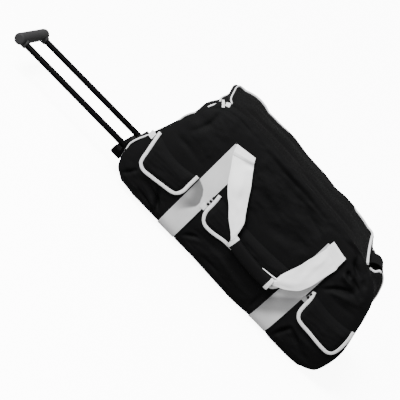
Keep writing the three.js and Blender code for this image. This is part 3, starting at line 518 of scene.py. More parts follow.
def on_long(side, x, z, lift=0.0):
    """The place on the front or back at (x, z), lifted off it, and the outward direction there."""
    x, z, lift = np.broadcast_arrays(*(np.asarray(v, float) for v in (x, z, lift)))
    t = level_of_height(z, x)
    s = x / long_reach(side, x, levels_at(t))
    out = long_out(side, s, t)
    return long_base(side, s, t) + out * lift[..., None], out


# Folds and wrinkles


def fold_relief(folds, a, b):
    """The sum of the folds at places (a, b) of a panel."""
    total = np.zeros(a.shape)
    for a0, b0, a1, b1, depth, reach, bow in folds:
        along = np.array([a1 - a0, b1 - b0], float)
        length = np.hypot(*along)
        along /= length
        share = ((a - a0) * along[0] + (b - b0) * along[1]) / length
        inside = clamp01(share)
        off = (b - b0) * along[0] - (a - a0) * along[1] - bow * 4 * inside * (1 - inside)
        past = (share - inside) * length
        fade = 0.25 + 0.75 * np.sin(np.pi * inside) ** 0.7
        total += depth * fade * np.exp(-(off**2 + past**2) / reach**2)
    return total


def ripples(a, b, across, seed):
    """Small uneven wrinkles, from about -1 to 1, longer along the panel than across it."""
    flat = np.stack([a.ravel() / (2.2 * across), b.ravel() / across], -1)
    values = [
        noise.noise(Vector((p, q, seed))) + 0.5 * noise.noise(Vector((2.1 * p + 7, 2.3 * q, seed + 5)))
        for p, q in flat
    ]
    return np.array(values).reshape(a.shape)


def line_offset(line, x, z):
    """The distance of places from a line, positive above it."""
    best = np.full(x.shape, 1e9)
    signed = np.zeros(x.shape)
    for (x0, z0), (x1, z1) in zip(line[:-1], line[1:]):
        run = np.hypot(x1 - x0, z1 - z0)
        ux, uz = (x1 - x0) / run, (z1 - z0) / run
        share = np.clip((x - x0) * ux + (z - z0) * uz, 0, run)
        dx, dz = x - x0 - ux * share, z - z0 - uz * share
        away = np.hypot(dx, dz)
        nearer = away < best
        best = np.where(nearer, away, best)
        signed = np.where(nearer, np.where(ux * dz - uz * dx >= 0, away, -away), signed)
    return signed


def cloth_room(side, x, z):
    """Straps and flaps hold the fabric flat: 0 under them, 1 well clear of them."""
    beside_strap, above_strap, above_flap = 4, 12, 6
    room = np.ones(x.shape)
    for middle, top in STRAPS.values():
        beside = np.maximum(np.abs(x - middle) - WEB_WIDTH / 2 - beside_strap, z - top - above_strap)
        room = np.minimum(room, ease(beside / 26))
    if side == FRONT:
        for x0, x1 in FLAPS.values():
            outside = np.maximum.reduce([x0 - x, x - x1, FLAP_BOTTOM - z, z - FLAP_TOP - above_flap])
            room = np.minimum(room, ease((outside - 2) / 20))
    return room


def long_skin(side, s, t, wrinkle):
    """The front or back with its top seam, folds and wrinkles."""
    points = long_base(side, s, t)
    x, z = points[..., 0], points[..., 2]
    folds = FRONT_FOLDS if side == FRONT else BACK_FOLDS
    edges = (1 - np.abs(s) ** 14) * clamp01(t * 14) * clamp01((1 - t) * 12)
    relief = fold_relief(folds, x, z) + wrinkle * ripples(x, z, across=WRINKLE_PITCH, seed=3.0 * side)
    offset = line_offset(TOP_SEAM, x, z)
    pulled = 1.0 + sum(depth * bell(x, at, reach) for at, reach, depth in SEAM_PULLS)
    groove = pulled * bell(offset, 0, SEAM["width"])
    seam = SEAM["swell"] * bell(offset, SEAM["above"], SEAM["reach"]) - groove
    seam_ends = clamp01((1 - np.abs(s)) * 25) * clamp01((1 - t) * 25)
    depth = 1.4 * relief * cloth_room(side, x, z) * edges + seam * seam_ends
    return points + long_out(side, s, t) * depth[..., None]


def end_skin(end, q, t, wrinkle):
    """An end with its folds and wrinkles."""
    points = end_base(end, q, t)
    folds = HANDLE_END_FOLDS if end == HANDLE_END else WHEEL_END_FOLDS
    edges = (1 - np.abs(q) ** 8) * clamp01(t * 12) * clamp01((1 - t) * 12)
    y, z = points[..., 1], points[..., 2]
    relief = fold_relief(folds, y, z) + wrinkle * ripples(y, z, across=WRINKLE_PITCH, seed=11.0 + end)
    return points + end_out(end, q, t) * (relief * edges)[..., None]


def lid_base(u, v):
    """The lid's surface between the rims of front, back and ends: u along, v across, from -1 to 1."""
    one = np.ones(u.shape)
    front, back = long_base(FRONT, u, one), long_base(BACK, u, one)
    left, right = end_base(HANDLE_END, v, one), end_base(WHEEL_END, v, one)
    a, b = ((u + 1) / 2)[..., None], ((v + 1) / 2)[..., None]
    corners = (
        (1 - a) * (1 - b) * long_base(FRONT, -one, one) + a * (1 - b) * long_base(FRONT, one, one)
        + (1 - a) * b * long_base(BACK, -one, one) + a * b * long_base(BACK, one, one))
    points = mix(front, back, b) + mix(left, right, a) - corners
    points[..., 2] += LID_CROWN * (1 - u**2) * (1 - v**2)
    return points


def lid_line(inset_u, inset_v, front, turn):
    """A line on the lid, inset from its three zipped sides, from one front corner to the other."""
    a, b = 1 - inset_u, 1 - inset_v
    across = turn * 2.4  # the lid is longer than it is wide, so a round corner takes more of its width
    angle = np.linspace(0, np.pi / 2, 16)
    right = np.stack([a - turn + turn * np.cos(angle), b - across + across * np.sin(angle)], -1)
    left = right[::-1] * (-1, 1)
    side = np.stack([np.full(40, a), np.linspace(front, b - across, 40)], -1)
    back = np.stack([np.linspace(a - turn, turn - a, 160), np.full(160, b)], -1)
    line = np.concatenate([side[:-1], right[:-1], back[:-1], left[:-1], side[::-1] * (-1, 1)])
    return lid_base(line[:, 0], line[:, 1])


def lid_skin(u, v, wrinkle):
    """The lid with its folds and wrinkles."""
    points = lid_base(u, v)
    x, y = points[..., 0], points[..., 1]
    edges = (1 - np.abs(u) ** 10) * (1 - np.abs(v) ** 8)
    relief = 0.6 * fold_relief(LID_FOLDS, x, y) + 0.2 * wrinkle * ripples(x, y, across=28, seed=31.0)
    points[..., 2] += relief * edges
    return points


# Mesh making


def deselect():
    if bpy.context.object and bpy.context.object.mode != "OBJECT":
        bpy.ops.object.mode_set(mode="OBJECT")
    bpy.ops.object.select_all(action="DESELECT")


def activate(piece):
    deselect()
    piece.select_set(True)
    bpy.context.view_layer.objects.active = piece


def name_new(name):
    piece = bpy.context.object
    piece.name = piece.data.name = name
    return piece


def lay_grid(name, columns, rows, place, cut, wrapped=False):
    """A grid laid over a surface: place(u, v) gives its points, cut its flat size, in millimetres."""
    deselect()
    bpy.ops.mesh.primitive_grid_add(x_subdivisions=columns, y_subdivisions=rows, size=2)
    piece = name_new(name)
    mesh = piece.data
    flat = np.empty(len(mesh.vertices) * 3, np.float32)
    mesh.vertices.foreach_get("co", flat)
    steps = np.rint((flat.reshape(-1, 3)[:, :2] + 1) / 2 * (columns, rows)) / (columns, rows)
    mesh.vertices.foreach_set("co", metres(place(steps[:, 0], steps[:, 1])).astype(np.float32).ravel())
    layer = mesh.uv_layers[0]
    layer.name = "cloth"
    uv = np.empty(len(mesh.loops) * 2, np.float32)
    layer.data.foreach_get("uv", uv)
    layer.data.foreach_set("uv", (uv.reshape(-1, 2) * np.array(cut) * MM).astype(np.float32).ravel())
    mesh.update()
    if wrapped:
        bpy.ops.object.mode_set(mode="EDIT")
        bpy.ops.mesh.select_all(action="SELECT")
        bpy.ops.mesh.remove_doubles(threshold=1e-6)
        bpy.ops.mesh.select_all(action="SELECT")
        bpy.ops.mesh.fill_holes(sides=0)
        bpy.ops.mesh.select_all(action="SELECT")
        bpy.ops.mesh.normals_make_consistent(inside=False)
        bpy.ops.object.mode_set(mode="OBJECT")
    return piece


def apply_modifier(piece, kind, **values):
    activate(piece)
    modifier = piece.modifiers.new(kind.lower(), kind)
    for key, value in values.items():
        setattr(modifier, key, value)
    bpy.ops.object.modifier_apply(modifier=modifier.name)


def thicken(piece, thickness):
    """Gives a sheet its thickness, inwards from its outer face."""
    apply_modifier(
        piece, "SOLIDIFY", thickness=thickness, offset=-1, use_even_offset=True, use_quality_normals=True)


def joined(pieces, name):
    """Joins pieces into the first of them, under a new name."""
    deselect()
    for piece in pieces:
        piece.select_set(True)
    bpy.context.view_layer.objects.active = pieces[0]
    bpy.ops.object.join()
    return name_new(name)


def curve_through(points, count):
    """Evenly spaced points of a smooth curve through the given ones."""
    points = np.asarray(points, float)
    place = np.linspace(0, len(points) - 1, 40 * (len(points) - 1) + 1)
    return spaced(smooth_at(points, place), count)


def spaced(points, count):
    """Points at even distances along a polyline."""
    points = np.asarray(points, float)
    run = np.concatenate([[0], np.cumsum(np.linalg.norm(np.diff(points, axis=0), axis=1))])
    at = np.linspace(0, run[-1], count)
    return np.stack([np.interp(at, run, column) for column in points.T], -1)


def part_way(path, share):
    """The places at shares of the way through a list of points."""
    at = share * (len(path) - 1)
    return np.stack([np.interp(at, np.arange(len(path)), column) for column in path.T], -1)


def path_length(path):
    return float(np.linalg.norm(np.diff(path, axis=0), axis=1).sum())


def swept(name, path, up, section, rows, girth):
    """A tube along a path: section(place, turn) gives its points sideways and upwards of the path."""
    along = unit(np.gradient(path, axis=0))
    sideways = unit(np.cross(along, up))
    upwards = np.cross(sideways, along)

    def place(u, v):
        k = np.rint(u * (len(path) - 1)).astype(int)
        a, b = section(u, 2 * np.pi * (v % 1.0))
        return path[k] + sideways[k] * a[:, None] + upwards[k] * b[:, None]

    return lay_grid(name, len(path) - 1, rows, place, (path_length(path), girth), wrapped=True)


def round_section(radius):
    """A round section, with one radius or a radius for each step along the path."""
    radius = np.atleast_1d(radius)

    def section(u, turn):
        here = radius[np.rint(u * (len(radius) - 1)).astype(int)]
        return here * np.cos(turn), here * np.sin(turn)

    return section


def squared(wave, power):
    """A wave from -1 to 1 with flatter tops, its sign kept."""
    return np.sign(wave) * np.abs(wave) ** power


def tape_section(width, thickness):
    """The section of folded tape: flat with round edges."""
    def section(u, turn):
        return squared(np.cos(turn), 0.55) * width / 2, squared(np.sin(turn), 0.8) * thickness / 2

    return section


def soft_ends(start, stop, radius, soft, count):
    """The two rounded ends of a bar's or tyre's profile, from start to stop."""
    turn = np.linspace(0, math.pi / 2, count)
    step = [(soft * (1 - math.sin(a)), radius - soft * (1 - math.cos(a))) for a in turn]
    return [(start + off, r) for off, r in step[::-1]], [(stop - off, r) for off, r in step]


def turned(name, axis, profile, centre, segments, hollow=False):
    """A turned piece: its profile gives places along the axis and radii, in metres."""
    on_axis = 1e-7
    ends = (profile[0][0], on_axis), (profile[-1][0], on_axis)
    rows = [*profile, profile[0]] if hollow else [ends[0], *profile, ends[1]]
    along = np.array([row[0] for row in rows])
    radius = np.array([row[1] for row in rows])
    across = {"X": ((0, 1, 0), (0, 0, 1)), "Y": ((0, 0, 1), (1, 0, 0))}[axis]
    line = np.array({"X": (1, 0, 0), "Y": (0, 1, 0)}[axis], float)
    rest = np.array(centre) * (1 - line)

    def place(u, v):
        k = np.rint(u * (len(rows) - 1)).astype(int)
        turn = 2 * np.pi * (v % 1.0)
        ring = np.cos(turn)[:, None] * across[0] + np.sin(turn)[:, None] * across[1]
        points = rest + along[k, None] * line + radius[k, None] * ring
        points[:, 0] -= BAG_X
        return points / MM

    return lay_grid(name, len(rows) - 1, segments, place, (100, 100), wrapped=True)


def refined_copy(node, name, width):
    """A copy of a moulded solid with rounded edges."""
    piece = bpy.data.objects.new(name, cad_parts[node].data.copy())
    bpy.context.scene.collection.objects.link(piece)
    activate(piece)
    bpy.ops.mesh.customdata_custom_splitnormals_clear()
    bpy.ops.object.mode_set(mode="EDIT")
    bpy.ops.mesh.select_all(action="SELECT")
    bpy.ops.mesh.remove_doubles(threshold=1e-5)
    bpy.ops.mesh.dissolve_limited(angle_limit=math.radians(1.5))
    bpy.ops.object.mode_set(mode="OBJECT")
    apply_modifier(
        piece, "BEVEL", width=width, segments=3, limit_method="ANGLE", angle_limit=math.radians(40))
    return piece


# Materials


def group_tree(name, inputs, outputs):
    tree = bpy.data.node_groups.new(name, "ShaderNodeTree")
    for label, kind, value in inputs:
        socket = tree.interface.new_socket(name=label, in_out="INPUT", socket_type=kind)
        if value is not None:
            socket.default_value = value
    for label, kind in outputs:
        tree.interface.new_socket(name=label, in_out="OUTPUT", socket_type=kind)
    return tree, tree.nodes.new("NodeGroupInput"), tree.nodes.new("NodeGroupOutput")


def math_node(tree, operation, a, b=None, c=None):
    node = tree.nodes.new("ShaderNodeMath")
    node.operation = operation
    for socket, value in zip(node.inputs, (a, b, c)):
        if value is None:
            continue
        if isinstance(value, (int, float)):
            socket.default_value = value
        else:
            tree.links.new(value, socket)
    return node.outputs[0]


def threads_group():
    """Plain weave: the height of crossing threads, and which of them lies on top."""
    tree, source, result = group_tree(
        "crossing threads",
        [("Cloth", "NodeSocketVector", None), ("Pitch", "NodeSocketFloat", 0.001)],
        [("Height", "NodeSocketFloat"), ("Over", "NodeSocketFloat")])
    scaled = tree.nodes.new("ShaderNodeVectorMath")
    scaled.operation = "SCALE"
    tree.links.new(source.outputs["Cloth"], scaled.inputs[0])
    tree.links.new(math_node(tree, "DIVIDE", 1.0, source.outputs["Pitch"]), scaled.inputs["Scale"])
    parts = tree.nodes.new("ShaderNodeSeparateXYZ")
    tree.links.new(scaled.outputs[0], parts.inputs[0])
    bumps = []
    cells = []
    for axis in (0, 1):
        turn = math_node(tree, "MULTIPLY", parts.outputs[axis], math.pi)
        bumps.append(math_node(tree, "ABSOLUTE", math_node(tree, "SINE", turn)))
        cells.append(math_node(tree, "FLOOR", parts.outputs[axis]))
    over = math_node(tree, "FLOORED_MODULO", math_node(tree, "ADD", *cells), 2.0)
    under = math_node(tree, "SUBTRACT", 1.0, over)
    height = math_node(tree, "ADD", math_node(tree, "MULTIPLY", over, bumps[0]),
                       math_node(tree, "MULTIPLY", under, bumps[1]))
    tree.links.new(height, result.inputs["Height"])
    tree.links.new(over, result.inputs["Over"])
    return tree


def mottle_group():
    """Uneven patches: large ones for dye and handling, small ones for grain."""
    tree, source, result = group_tree(
        "uneven patches",
        [("Place", "NodeSocketVector", None), ("Size", "NodeSocketFloat", 0.05)],
        [("Patch", "NodeSocketFloat"), ("Grain", "NodeSocketFloat")])
    scale = math_node(tree, "DIVIDE", 1.0, source.outputs["Size"])
    for label, factor, detail in (("Patch", 1.0, 3.0), ("Grain", 24.0, 2.0)):
        cloud = tree.nodes.new("ShaderNodeTexNoise")
        cloud.inputs["Detail"].default_value = detail
        tree.links.new(source.outputs["Place"], cloud.inputs["Vector"])
        tree.links.new(math_node(tree, "MULTIPLY", scale, factor), cloud.inputs["Scale"])
        tree.links.new(cloud.outputs["Fac"], result.inputs[label])
    return tree


def stitch_group():
    """Two rows of stitches beside the edges of a band: where their threads lie."""
    half_thread, stitch_share = 0.0005, 0.72
    tree, source, result = group_tree(
        "stitch rows",
        [("Cloth", "NodeSocketVector", None), ("Width", "NodeSocketFloat", 0.05),
         ("Inset", "NodeSocketFloat", 0.003), ("Pitch", "NodeSocketFloat", 0.004)],
        [("Thread", "NodeSocketFloat")])
    parts = tree.nodes.new("ShaderNodeSeparateXYZ")
    tree.links.new(source.outputs["Cloth"], parts.inputs[0])
    other_edge = math_node(tree, "SUBTRACT", source.outputs["Width"], parts.outputs[1])
    edge = math_node(tree, "MINIMUM", parts.outputs[1], other_edge)
    inset = math_node(tree, "SUBTRACT", edge, source.outputs["Inset"])
    row = math_node(tree, "LESS_THAN", math_node(tree, "ABSOLUTE", inset), half_thread)
    step = math_node(tree, "FRACT", math_node(tree, "DIVIDE", parts.outputs[0], source.outputs["Pitch"]))
    stitch = math_node(tree, "LESS_THAN", step, stitch_share)
    tree.links.new(math_node(tree, "MULTIPLY", row, stitch), result.inputs["Thread"])
    return tree


class Finish:
    """A material in the making: its tree, its shader and the shared effects."""

    groups = {}

    def __init__(self, name, roughness, specular, sheen=0.0):
        self.material = bpy.data.materials.new(name)
        self.material.use_nodes = True
        self.tree = self.material.node_tree
        self.shader = self.tree.nodes["Principled BSDF"]
        self.shader.inputs["Roughness"].default_value = roughness
        self.shader.inputs["Specular IOR Level"].default_value = specular
        self.shader.inputs["Sheen Weight"].default_value = sheen
        self.shader.inputs["Sheen Roughness"].default_value = 0.45

    def effect(self, kind):
        """A node of one of the shared effects, built once for all materials."""
        makers = {"threads": threads_group, "mottle": mottle_group, "stitches": stitch_group}
        if kind not in Finish.groups:
            Finish.groups[kind] = makers[kind]()
        node = self.tree.nodes.new("ShaderNodeGroup")
        node.node_tree = Finish.groups[kind]
        return node

    def place(self):
        return self.tree.nodes.new("ShaderNodeTexCoord").outputs["Object"]

    def cloth(self):
        node = self.tree.nodes.new("ShaderNodeUVMap")
        node.uv_map = "cloth"
        return node.outputs["UV"]

    def patches(self, size):
        node = self.effect("mottle")
        node.inputs["Size"].default_value = size
        self.tree.links.new(self.place(), node.inputs["Place"])
        return node.outputs["Patch"], node.outputs["Grain"]

    def threads(self, pitch):
        node = self.effect("threads")
        node.inputs["Pitch"].default_value = pitch
        self.tree.links.new(self.cloth(), node.inputs["Cloth"])
        return node.outputs["Height"], node.outputs["Over"]

    def stitches(self, width, inset):
        node = self.effect("stitches")
        node.inputs["Width"].default_value = width
        node.inputs["Inset"].default_value = inset
        self.tree.links.new(self.cloth(), node.inputs["Cloth"])
        return node.outputs["Thread"]

    def darken(self, mask, share):
        """Takes a share of the base colour away where a mask is 1."""
        shade = self.tree.nodes.new("ShaderNodeVectorMath")
        shade.operation = "SCALE"
        self.tree.links.new(self.shader.inputs["Base Color"].links[0].from_socket, shade.inputs[0])
        self.tree.links.new(math_node(self.tree, "MULTIPLY_ADD", mask, -share, 1.0), shade.inputs["Scale"])
        self.tree.links.new(shade.outputs[0], self.shader.inputs["Base Color"])

    def colours(self, colour, low, high, *shares):
        """Base colour between two shades of one colour, by the mean of some masks."""
        total = shares[0]
        for share in shares[1:]:
            total = math_node(self.tree, "ADD", total, share)
        ramp = self.tree.nodes.new("ShaderNodeMapRange")
        self.tree.links.new(total, ramp.inputs["Value"])
        ramp.inputs["From Min"].default_value = 0.25 * len(shares)
        ramp.inputs["From Max"].default_value = 0.75 * len(shares)
        blend = self.tree.nodes.new("ShaderNodeMix")
        blend.data_type = "RGBA"
        sockets = {s.name + s.type: s for s in blend.inputs}
        sockets["ARGBA"].default_value = (*[c * low for c in colour], 1)
        sockets["BRGBA"].default_value = (*[min(1, c * high) for c in colour], 1)
        self.tree.links.new(ramp.outputs[0], blend.inputs[0])
        colour_out = next(s for s in blend.outputs if s.type == "RGBA")
        self.tree.links.new(colour_out, self.shader.inputs["Base Color"])

    def roughness(self, share, low, high):
        ramp = self.tree.nodes.new("ShaderNodeMapRange")
        self.tree.links.new(share, ramp.inputs["Value"])
        ramp.inputs["To Min"].default_value = low
        ramp.inputs["To Max"].default_value = high
        self.tree.links.new(ramp.outputs[0], self.shader.inputs["Roughness"])

    def bump(self, height, distance, strength):
        node = self.tree.nodes.new("ShaderNodeBump")
        node.inputs["Distance"].default_value = distance
        node.inputs["Strength"].default_value = strength
        self.tree.links.new(height, node.inputs["Height"])
        if self.shader.inputs["Normal"].links:
            self.tree.links.new(self.shader.inputs["Normal"].links[0].from_socket, node.inputs["Normal"])
        self.tree.links.new(node.outputs[0], self.shader.inputs["Normal"])


def black_fabric(name="black woven fabric", low=0.72, high=1.3):
    """Plain black weave, a little uneven."""
    cloth = bpy.context.scene.bag_cloth
    finish = Finish(name, 0.7, specular=0.02)
    patch, grain = finish.patches(0.06)
    height, _ = finish.threads(cloth.weave)
    finish.colours(cloth.fabric, low, high, patch, height)
    finish.roughness(patch, low=0.55, high=0.8)
    finish.bump(height, distance=0.0003, strength=0.35)
    finish.bump(grain, distance=0.0004, strength=0.12)
    return finish.material


def white_webbing(
        name="white webbing", pitch_share=1.0, low=0.9, high=1.06, band=WEB_STITCHES, smudge=0.0):
    """White ribbed webbing or tape with two rows of stitches, greyed where shade is painted on."""
    webbing = bpy.context.scene.bag_webbing
    finish = Finish(name, 0.8, specular=0.3, sheen=0.08)
    patch, grain = finish.patches(0.04)
    height, _ = finish.threads(webbing.rib * pitch_share)
    thread = finish.stitches(*band)
    finish.colours(webbing.white, low, high, patch, height)
    finish.darken(thread, 0.12)
    if smudge:
        mark = finish.tree.nodes.new("ShaderNodeAttribute")
        mark.attribute_name = "smudge"
        finish.darken(mark.outputs["Fac"], smudge)
    finish.roughness(grain, low=0.72, high=0.9)
    finish.bump(height, distance=0.0005, strength=0.4)
    finish.bump(thread, distance=0.0006, strength=0.5)
    return finish.material


def moulded(name, colour, roughness, grain_size, specular):
    """A moulded or painted finish in one of the hardware's colours."""
    finish = Finish(name, roughness, specular)
    patch, grain = finish.patches(grain_size)
    finish.colours(getattr(bpy.context.scene.bag_hardware, colour), 0.8, 1.25, patch)
    finish.roughness(patch, roughness - 0.08, roughness + 0.1)
    finish.bump(grain, distance=0.0003, strength=0.2)
    return finish.material


MAKERS = {
    "black fabric": black_fabric,
    # A darker copy of the black fabric: painted shade on the lid, which faces the top light
    "lid fabric": lambda: black_fabric("black lid fabric", low=0.42, high=0.82),
    "white webbing": white_webbing,
    # A darker copy of the white webbing: painted shade on the straps
    "strap webbing": lambda: white_webbing(
        "white strap webbing", pitch_share=1.3, low=0.44, high=0.68, smudge=0.77),
    # A darker copy of the white webbing: painted shade on the bindings and piping
    "white trim": lambda: white_webbing(
        "white binding", pitch_share=0.55, low=0.68, high=0.78, band=TRIM_STITCHES),
    # A darker copy of the white tape: painted shadow of the carry handle on the right pocket zip's end
    "grey tape": lambda: white_webbing(
        "grey zip tape", pitch_share=0.55, low=0.16, high=0.24, band=TRIM_STITCHES),
    "zip": lambda: moulded("black zip coil", "plastic", roughness=0.45, grain_size=0.01, specular=0.05),
    "rod": lambda: moulded("black painted rod", "rod", roughness=0.4, grain_size=0.05, specular=0.02),
    "grip": lambda: moulded("grey moulded grip", "grip", roughness=0.62, grain_size=0.03, specular=0.12),
    "plastic": lambda: moulded(
        "black moulded plastic", "plastic", roughness=0.5, grain_size=0.03, specular=0.08),
    "rubber": lambda: moulded("black rubber", "rubber", roughness=0.82, grain_size=0.02, specular=0.08),
}
made_materials = {}


def dress(piece, kind):
    """Gives a piece, or a solid that is shown as it is, its material."""
    if kind not in made_materials:
        made_materials[kind] = MAKERS[kind]()
    piece.data.materials.clear()
    piece.data.materials.append(made_materials[kind])


def register_piece(piece, kind, slot, *nodes, body="bag", degrees=50):
    """Shades and dresses a piece, and lets it ride on its body in place of its solids."""
    activate(piece)
    bpy.ops.object.shade_smooth_by_angle(angle=math.radians(degrees))
    dress(piece, kind)
    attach(piece, body)
    if nodes:
        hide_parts(*nodes)


class BAG_OT_panels(bpy.types.Operator):
    """Sews the front, the back and the two ends"""

    bl_idname = "bag.sew_panels"
    bl_label = "Panels"

    def execute(self, context):
        cloth = context.scene.bag_cloth
        wrinkle = cloth.wrinkle / MM
        for name, side in (("front_panel", FRONT), ("back_panel", BACK)):
            piece = lay_grid(
                name + "_cloth", *GRIDS["long panel"],
                lambda u, v, side=side: long_skin(side, side * (1 - 2 * u), v, wrinkle), (680, 360))
            thicken(piece, cloth.wall)
            register_piece(piece, "black fabric", "black_fabric", name)
        self.end_panel("handle_end_panel", HANDLE_END, 0.0, wrinkle, cloth.wall)
        lowest = float(level_of_height(WHEEL_END_HEM["panel"], WHEEL_END_HEM["x"]))
        self.end_panel("wheel_end_panel", WHEEL_END, lowest, wrinkle, cloth.wall)
        return {"FINISHED"}

    def end_panel(self, name, end, lowest, wrinkle, wall):
        piece = lay_grid(
            name + "_cloth", *GRIDS["end panel"],
            lambda u, v: end_skin(end, end * (2 * u - 1), mix(lowest, 1, v), wrinkle),
            (252, 350 * (1 - lowest)))
        if end == HANDLE_END:
            self.cut_window(piece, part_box("handle_bezel"))
        thicken(piece, wall)
        register_piece(piece, "black fabric", "black_fabric", name)

    def cut_window(self, piece, box):
        """Opens the end where the handle's moulding comes through."""
        (_, y0, _), (_, y1, high) = box
        y0, y1 = y0 + WINDOW["beside"] * MM, y1 - WINDOW["beside"] * MM
        low, high = (WINDOW["sill"] + WINDOW["above"]) * MM, high - WINDOW["above"] * MM
        activate(piece)
        bpy.ops.object.mode_set(mode="EDIT")
        bpy.ops.mesh.select_mode(type="FACE")
        bpy.ops.mesh.select_all(action="DESELECT")
        bpy.ops.object.mode_set(mode="OBJECT")
        for face in piece.data.polygons:
            _, y, z = face.center
            face.select = y0 < y < y1 and low < z < high
        bpy.ops.object.mode_set(mode="EDIT")
        bpy.ops.mesh.delete(type="FACE")
        bpy.ops.object.mode_set(mode="OBJECT")


class BAG_OT_lid(bpy.types.Operator):
    """Sews the lid with its zip and its piping round three sides"""

    bl_idname = "bag.sew_lid"
    bl_label = "Lid"

    def execute(self, context):
        cloth = context.scene.bag_cloth
        wrinkle = cloth.wrinkle / MM
        lid = lay_grid(
            "lid_panel_cloth", *GRIDS["lid"],
            lambda u, v: lid_skin(2 * u - 1, 2 * v - 1, wrinkle), (505, 212))
        thicken(lid, cloth.wall)
        register_piece(lid, "lid fabric", "black_fabric", "lid_panel")
        band = lid_line(inset_u=0.011, inset_v=0.026, front=-0.9, turn=0.03)
        path = spaced(band + (0, 0, 0.3), ZIP_COIL["steps"])
        coil = swept("lid_zip_coil", path, (0, 0, 1), self.coil_section, rows=8, girth=14)
        register_piece(coil, "zip", "black_zip", "lid_zip")
        edge, radius = self.piping_line()
        piping = swept("lid_piping_cord", edge, (0, 0, 1), round_section(radius), rows=12, girth=15)
        register_piece(piping, "white trim", "white_trim", "lid_piping")
        for name, width, *knots in ZIP_TABS:
            path = curve_through(np.array(knots, float), 24)
            tape = tape_section(width, ZIP_TAB_THICKNESS)
            tab = swept(f"lid_zip_tab_{name}", path, ZIP_TAB_UP, tape, rows=12, girth=20)
            register_piece(tab, "white trim", "white_trim")
        return {"FINISHED"}

    def piping_line(self):
        """The line of the piping and its radius along it."""
        line = lid_line(inset_u=0.032, inset_v=0.06, front=-0.93, turn=0.03)
        x, y = line[:, 0], line[:, 1]
        behind = ease((y - 60) / 20)
        places, *columns = LID_BACK_PIPING.T
        radius, rise, slip = (np.interp(x, places, column) for column in columns)
        beside = np.where(x < 0, LID_PIPING[HANDLE_END], LID_PIPING[WHEEL_END])
        line[:, 1] += slip * behind
        line[:, 2] += mix(LID_PIPING_RISE, rise, behind)
        run = spaced(np.column_stack([line, mix(beside, radius, behind)]), 320)
        return run[:, :3], run[:, 3]

    def coil_section(self, u, turn):
        """The section of the zip's coil, which is wider at every other step."""
        ridge = ZIP_COIL["ridge"] * np.cos(np.rint(u * (ZIP_COIL["steps"] - 1)) * np.pi)
        wide, high = ZIP_COIL["half_width"] + ridge, ZIP_COIL["half_height"] + ridge
        return wide * np.cos(turn), high * np.sin(turn)


class BAG_OT_piping(bpy.types.Operator):
    """Lays the piping into the seams round both ends"""

    bl_idname = "bag.pipe_ends"
    bl_label = "End piping"

    def execute(self, context):
        radius = context.scene.bag_webbing.piping / MM
        hem = float(level_of_height(WHEEL_END_HEM["piping"], WHEEL_END_HEM["x"]))
        lowest = {HANDLE_END: 0.03, WHEEL_END: hem}
        for name, end in (("handle_end_piping", HANDLE_END), ("wheel_end_piping", WHEEL_END)):
            path = curve_through(self.seam(end, lowest[end], radius), 300)
            up = np.tile((float(end), 0.0, 0.0), (len(path), 1))
            piece = swept(name + "_cord", path, up, round_section(radius), rows=10, girth=15)
            register_piece(piece, "white trim", "white_trim", name)
        return {"FINISHED"}

    def seam(self, end, lowest, radius):
        """The line of the piping up one side, round under the rim and down the other side."""
        bend, top = 0.8, 0.9
        angles = np.linspace(0, np.pi / 2, 7)[1:]
        q = np.concatenate([np.full(40, -1.0), -1 + 0.16 * (1 - np.cos(angles)), [-0.7, -0.45, -0.15]])
        t = np.concatenate([np.linspace(lowest, bend, 40), mix(bend, top, np.sin(angles)), [top] * 3])
        q, t = np.concatenate([q, -q[::-1]]), np.concatenate([t, t[::-1]])
        corner = clamp01((np.abs(q) - 0.9) * 10)[:, None]
        diagonal = unit(np.stack([np.full(q.shape, float(end)), np.sign(q), np.zeros(q.shape)], -1))
        away = unit(mix(end_out(end, q, t), diagonal, corner))
        shown = radius * 0.5 + 0.2 + corner[:, 0]
        if end == HANDLE_END:
            out_of_seam = sum(np.exp(-(((t - at) / reach) ** 4)) for at, reach in PIPING_SHOWN)
            tucked = (q < -0.8) * (t < 0.89) * (1 - clamp01(out_of_seam))
        else:
            tucked = (q < 0.9) * WHEEL_END_TUCK
        return end_base(end, q, t) + away * mix(shown, -1.2 * radius, tucked)[:, None]


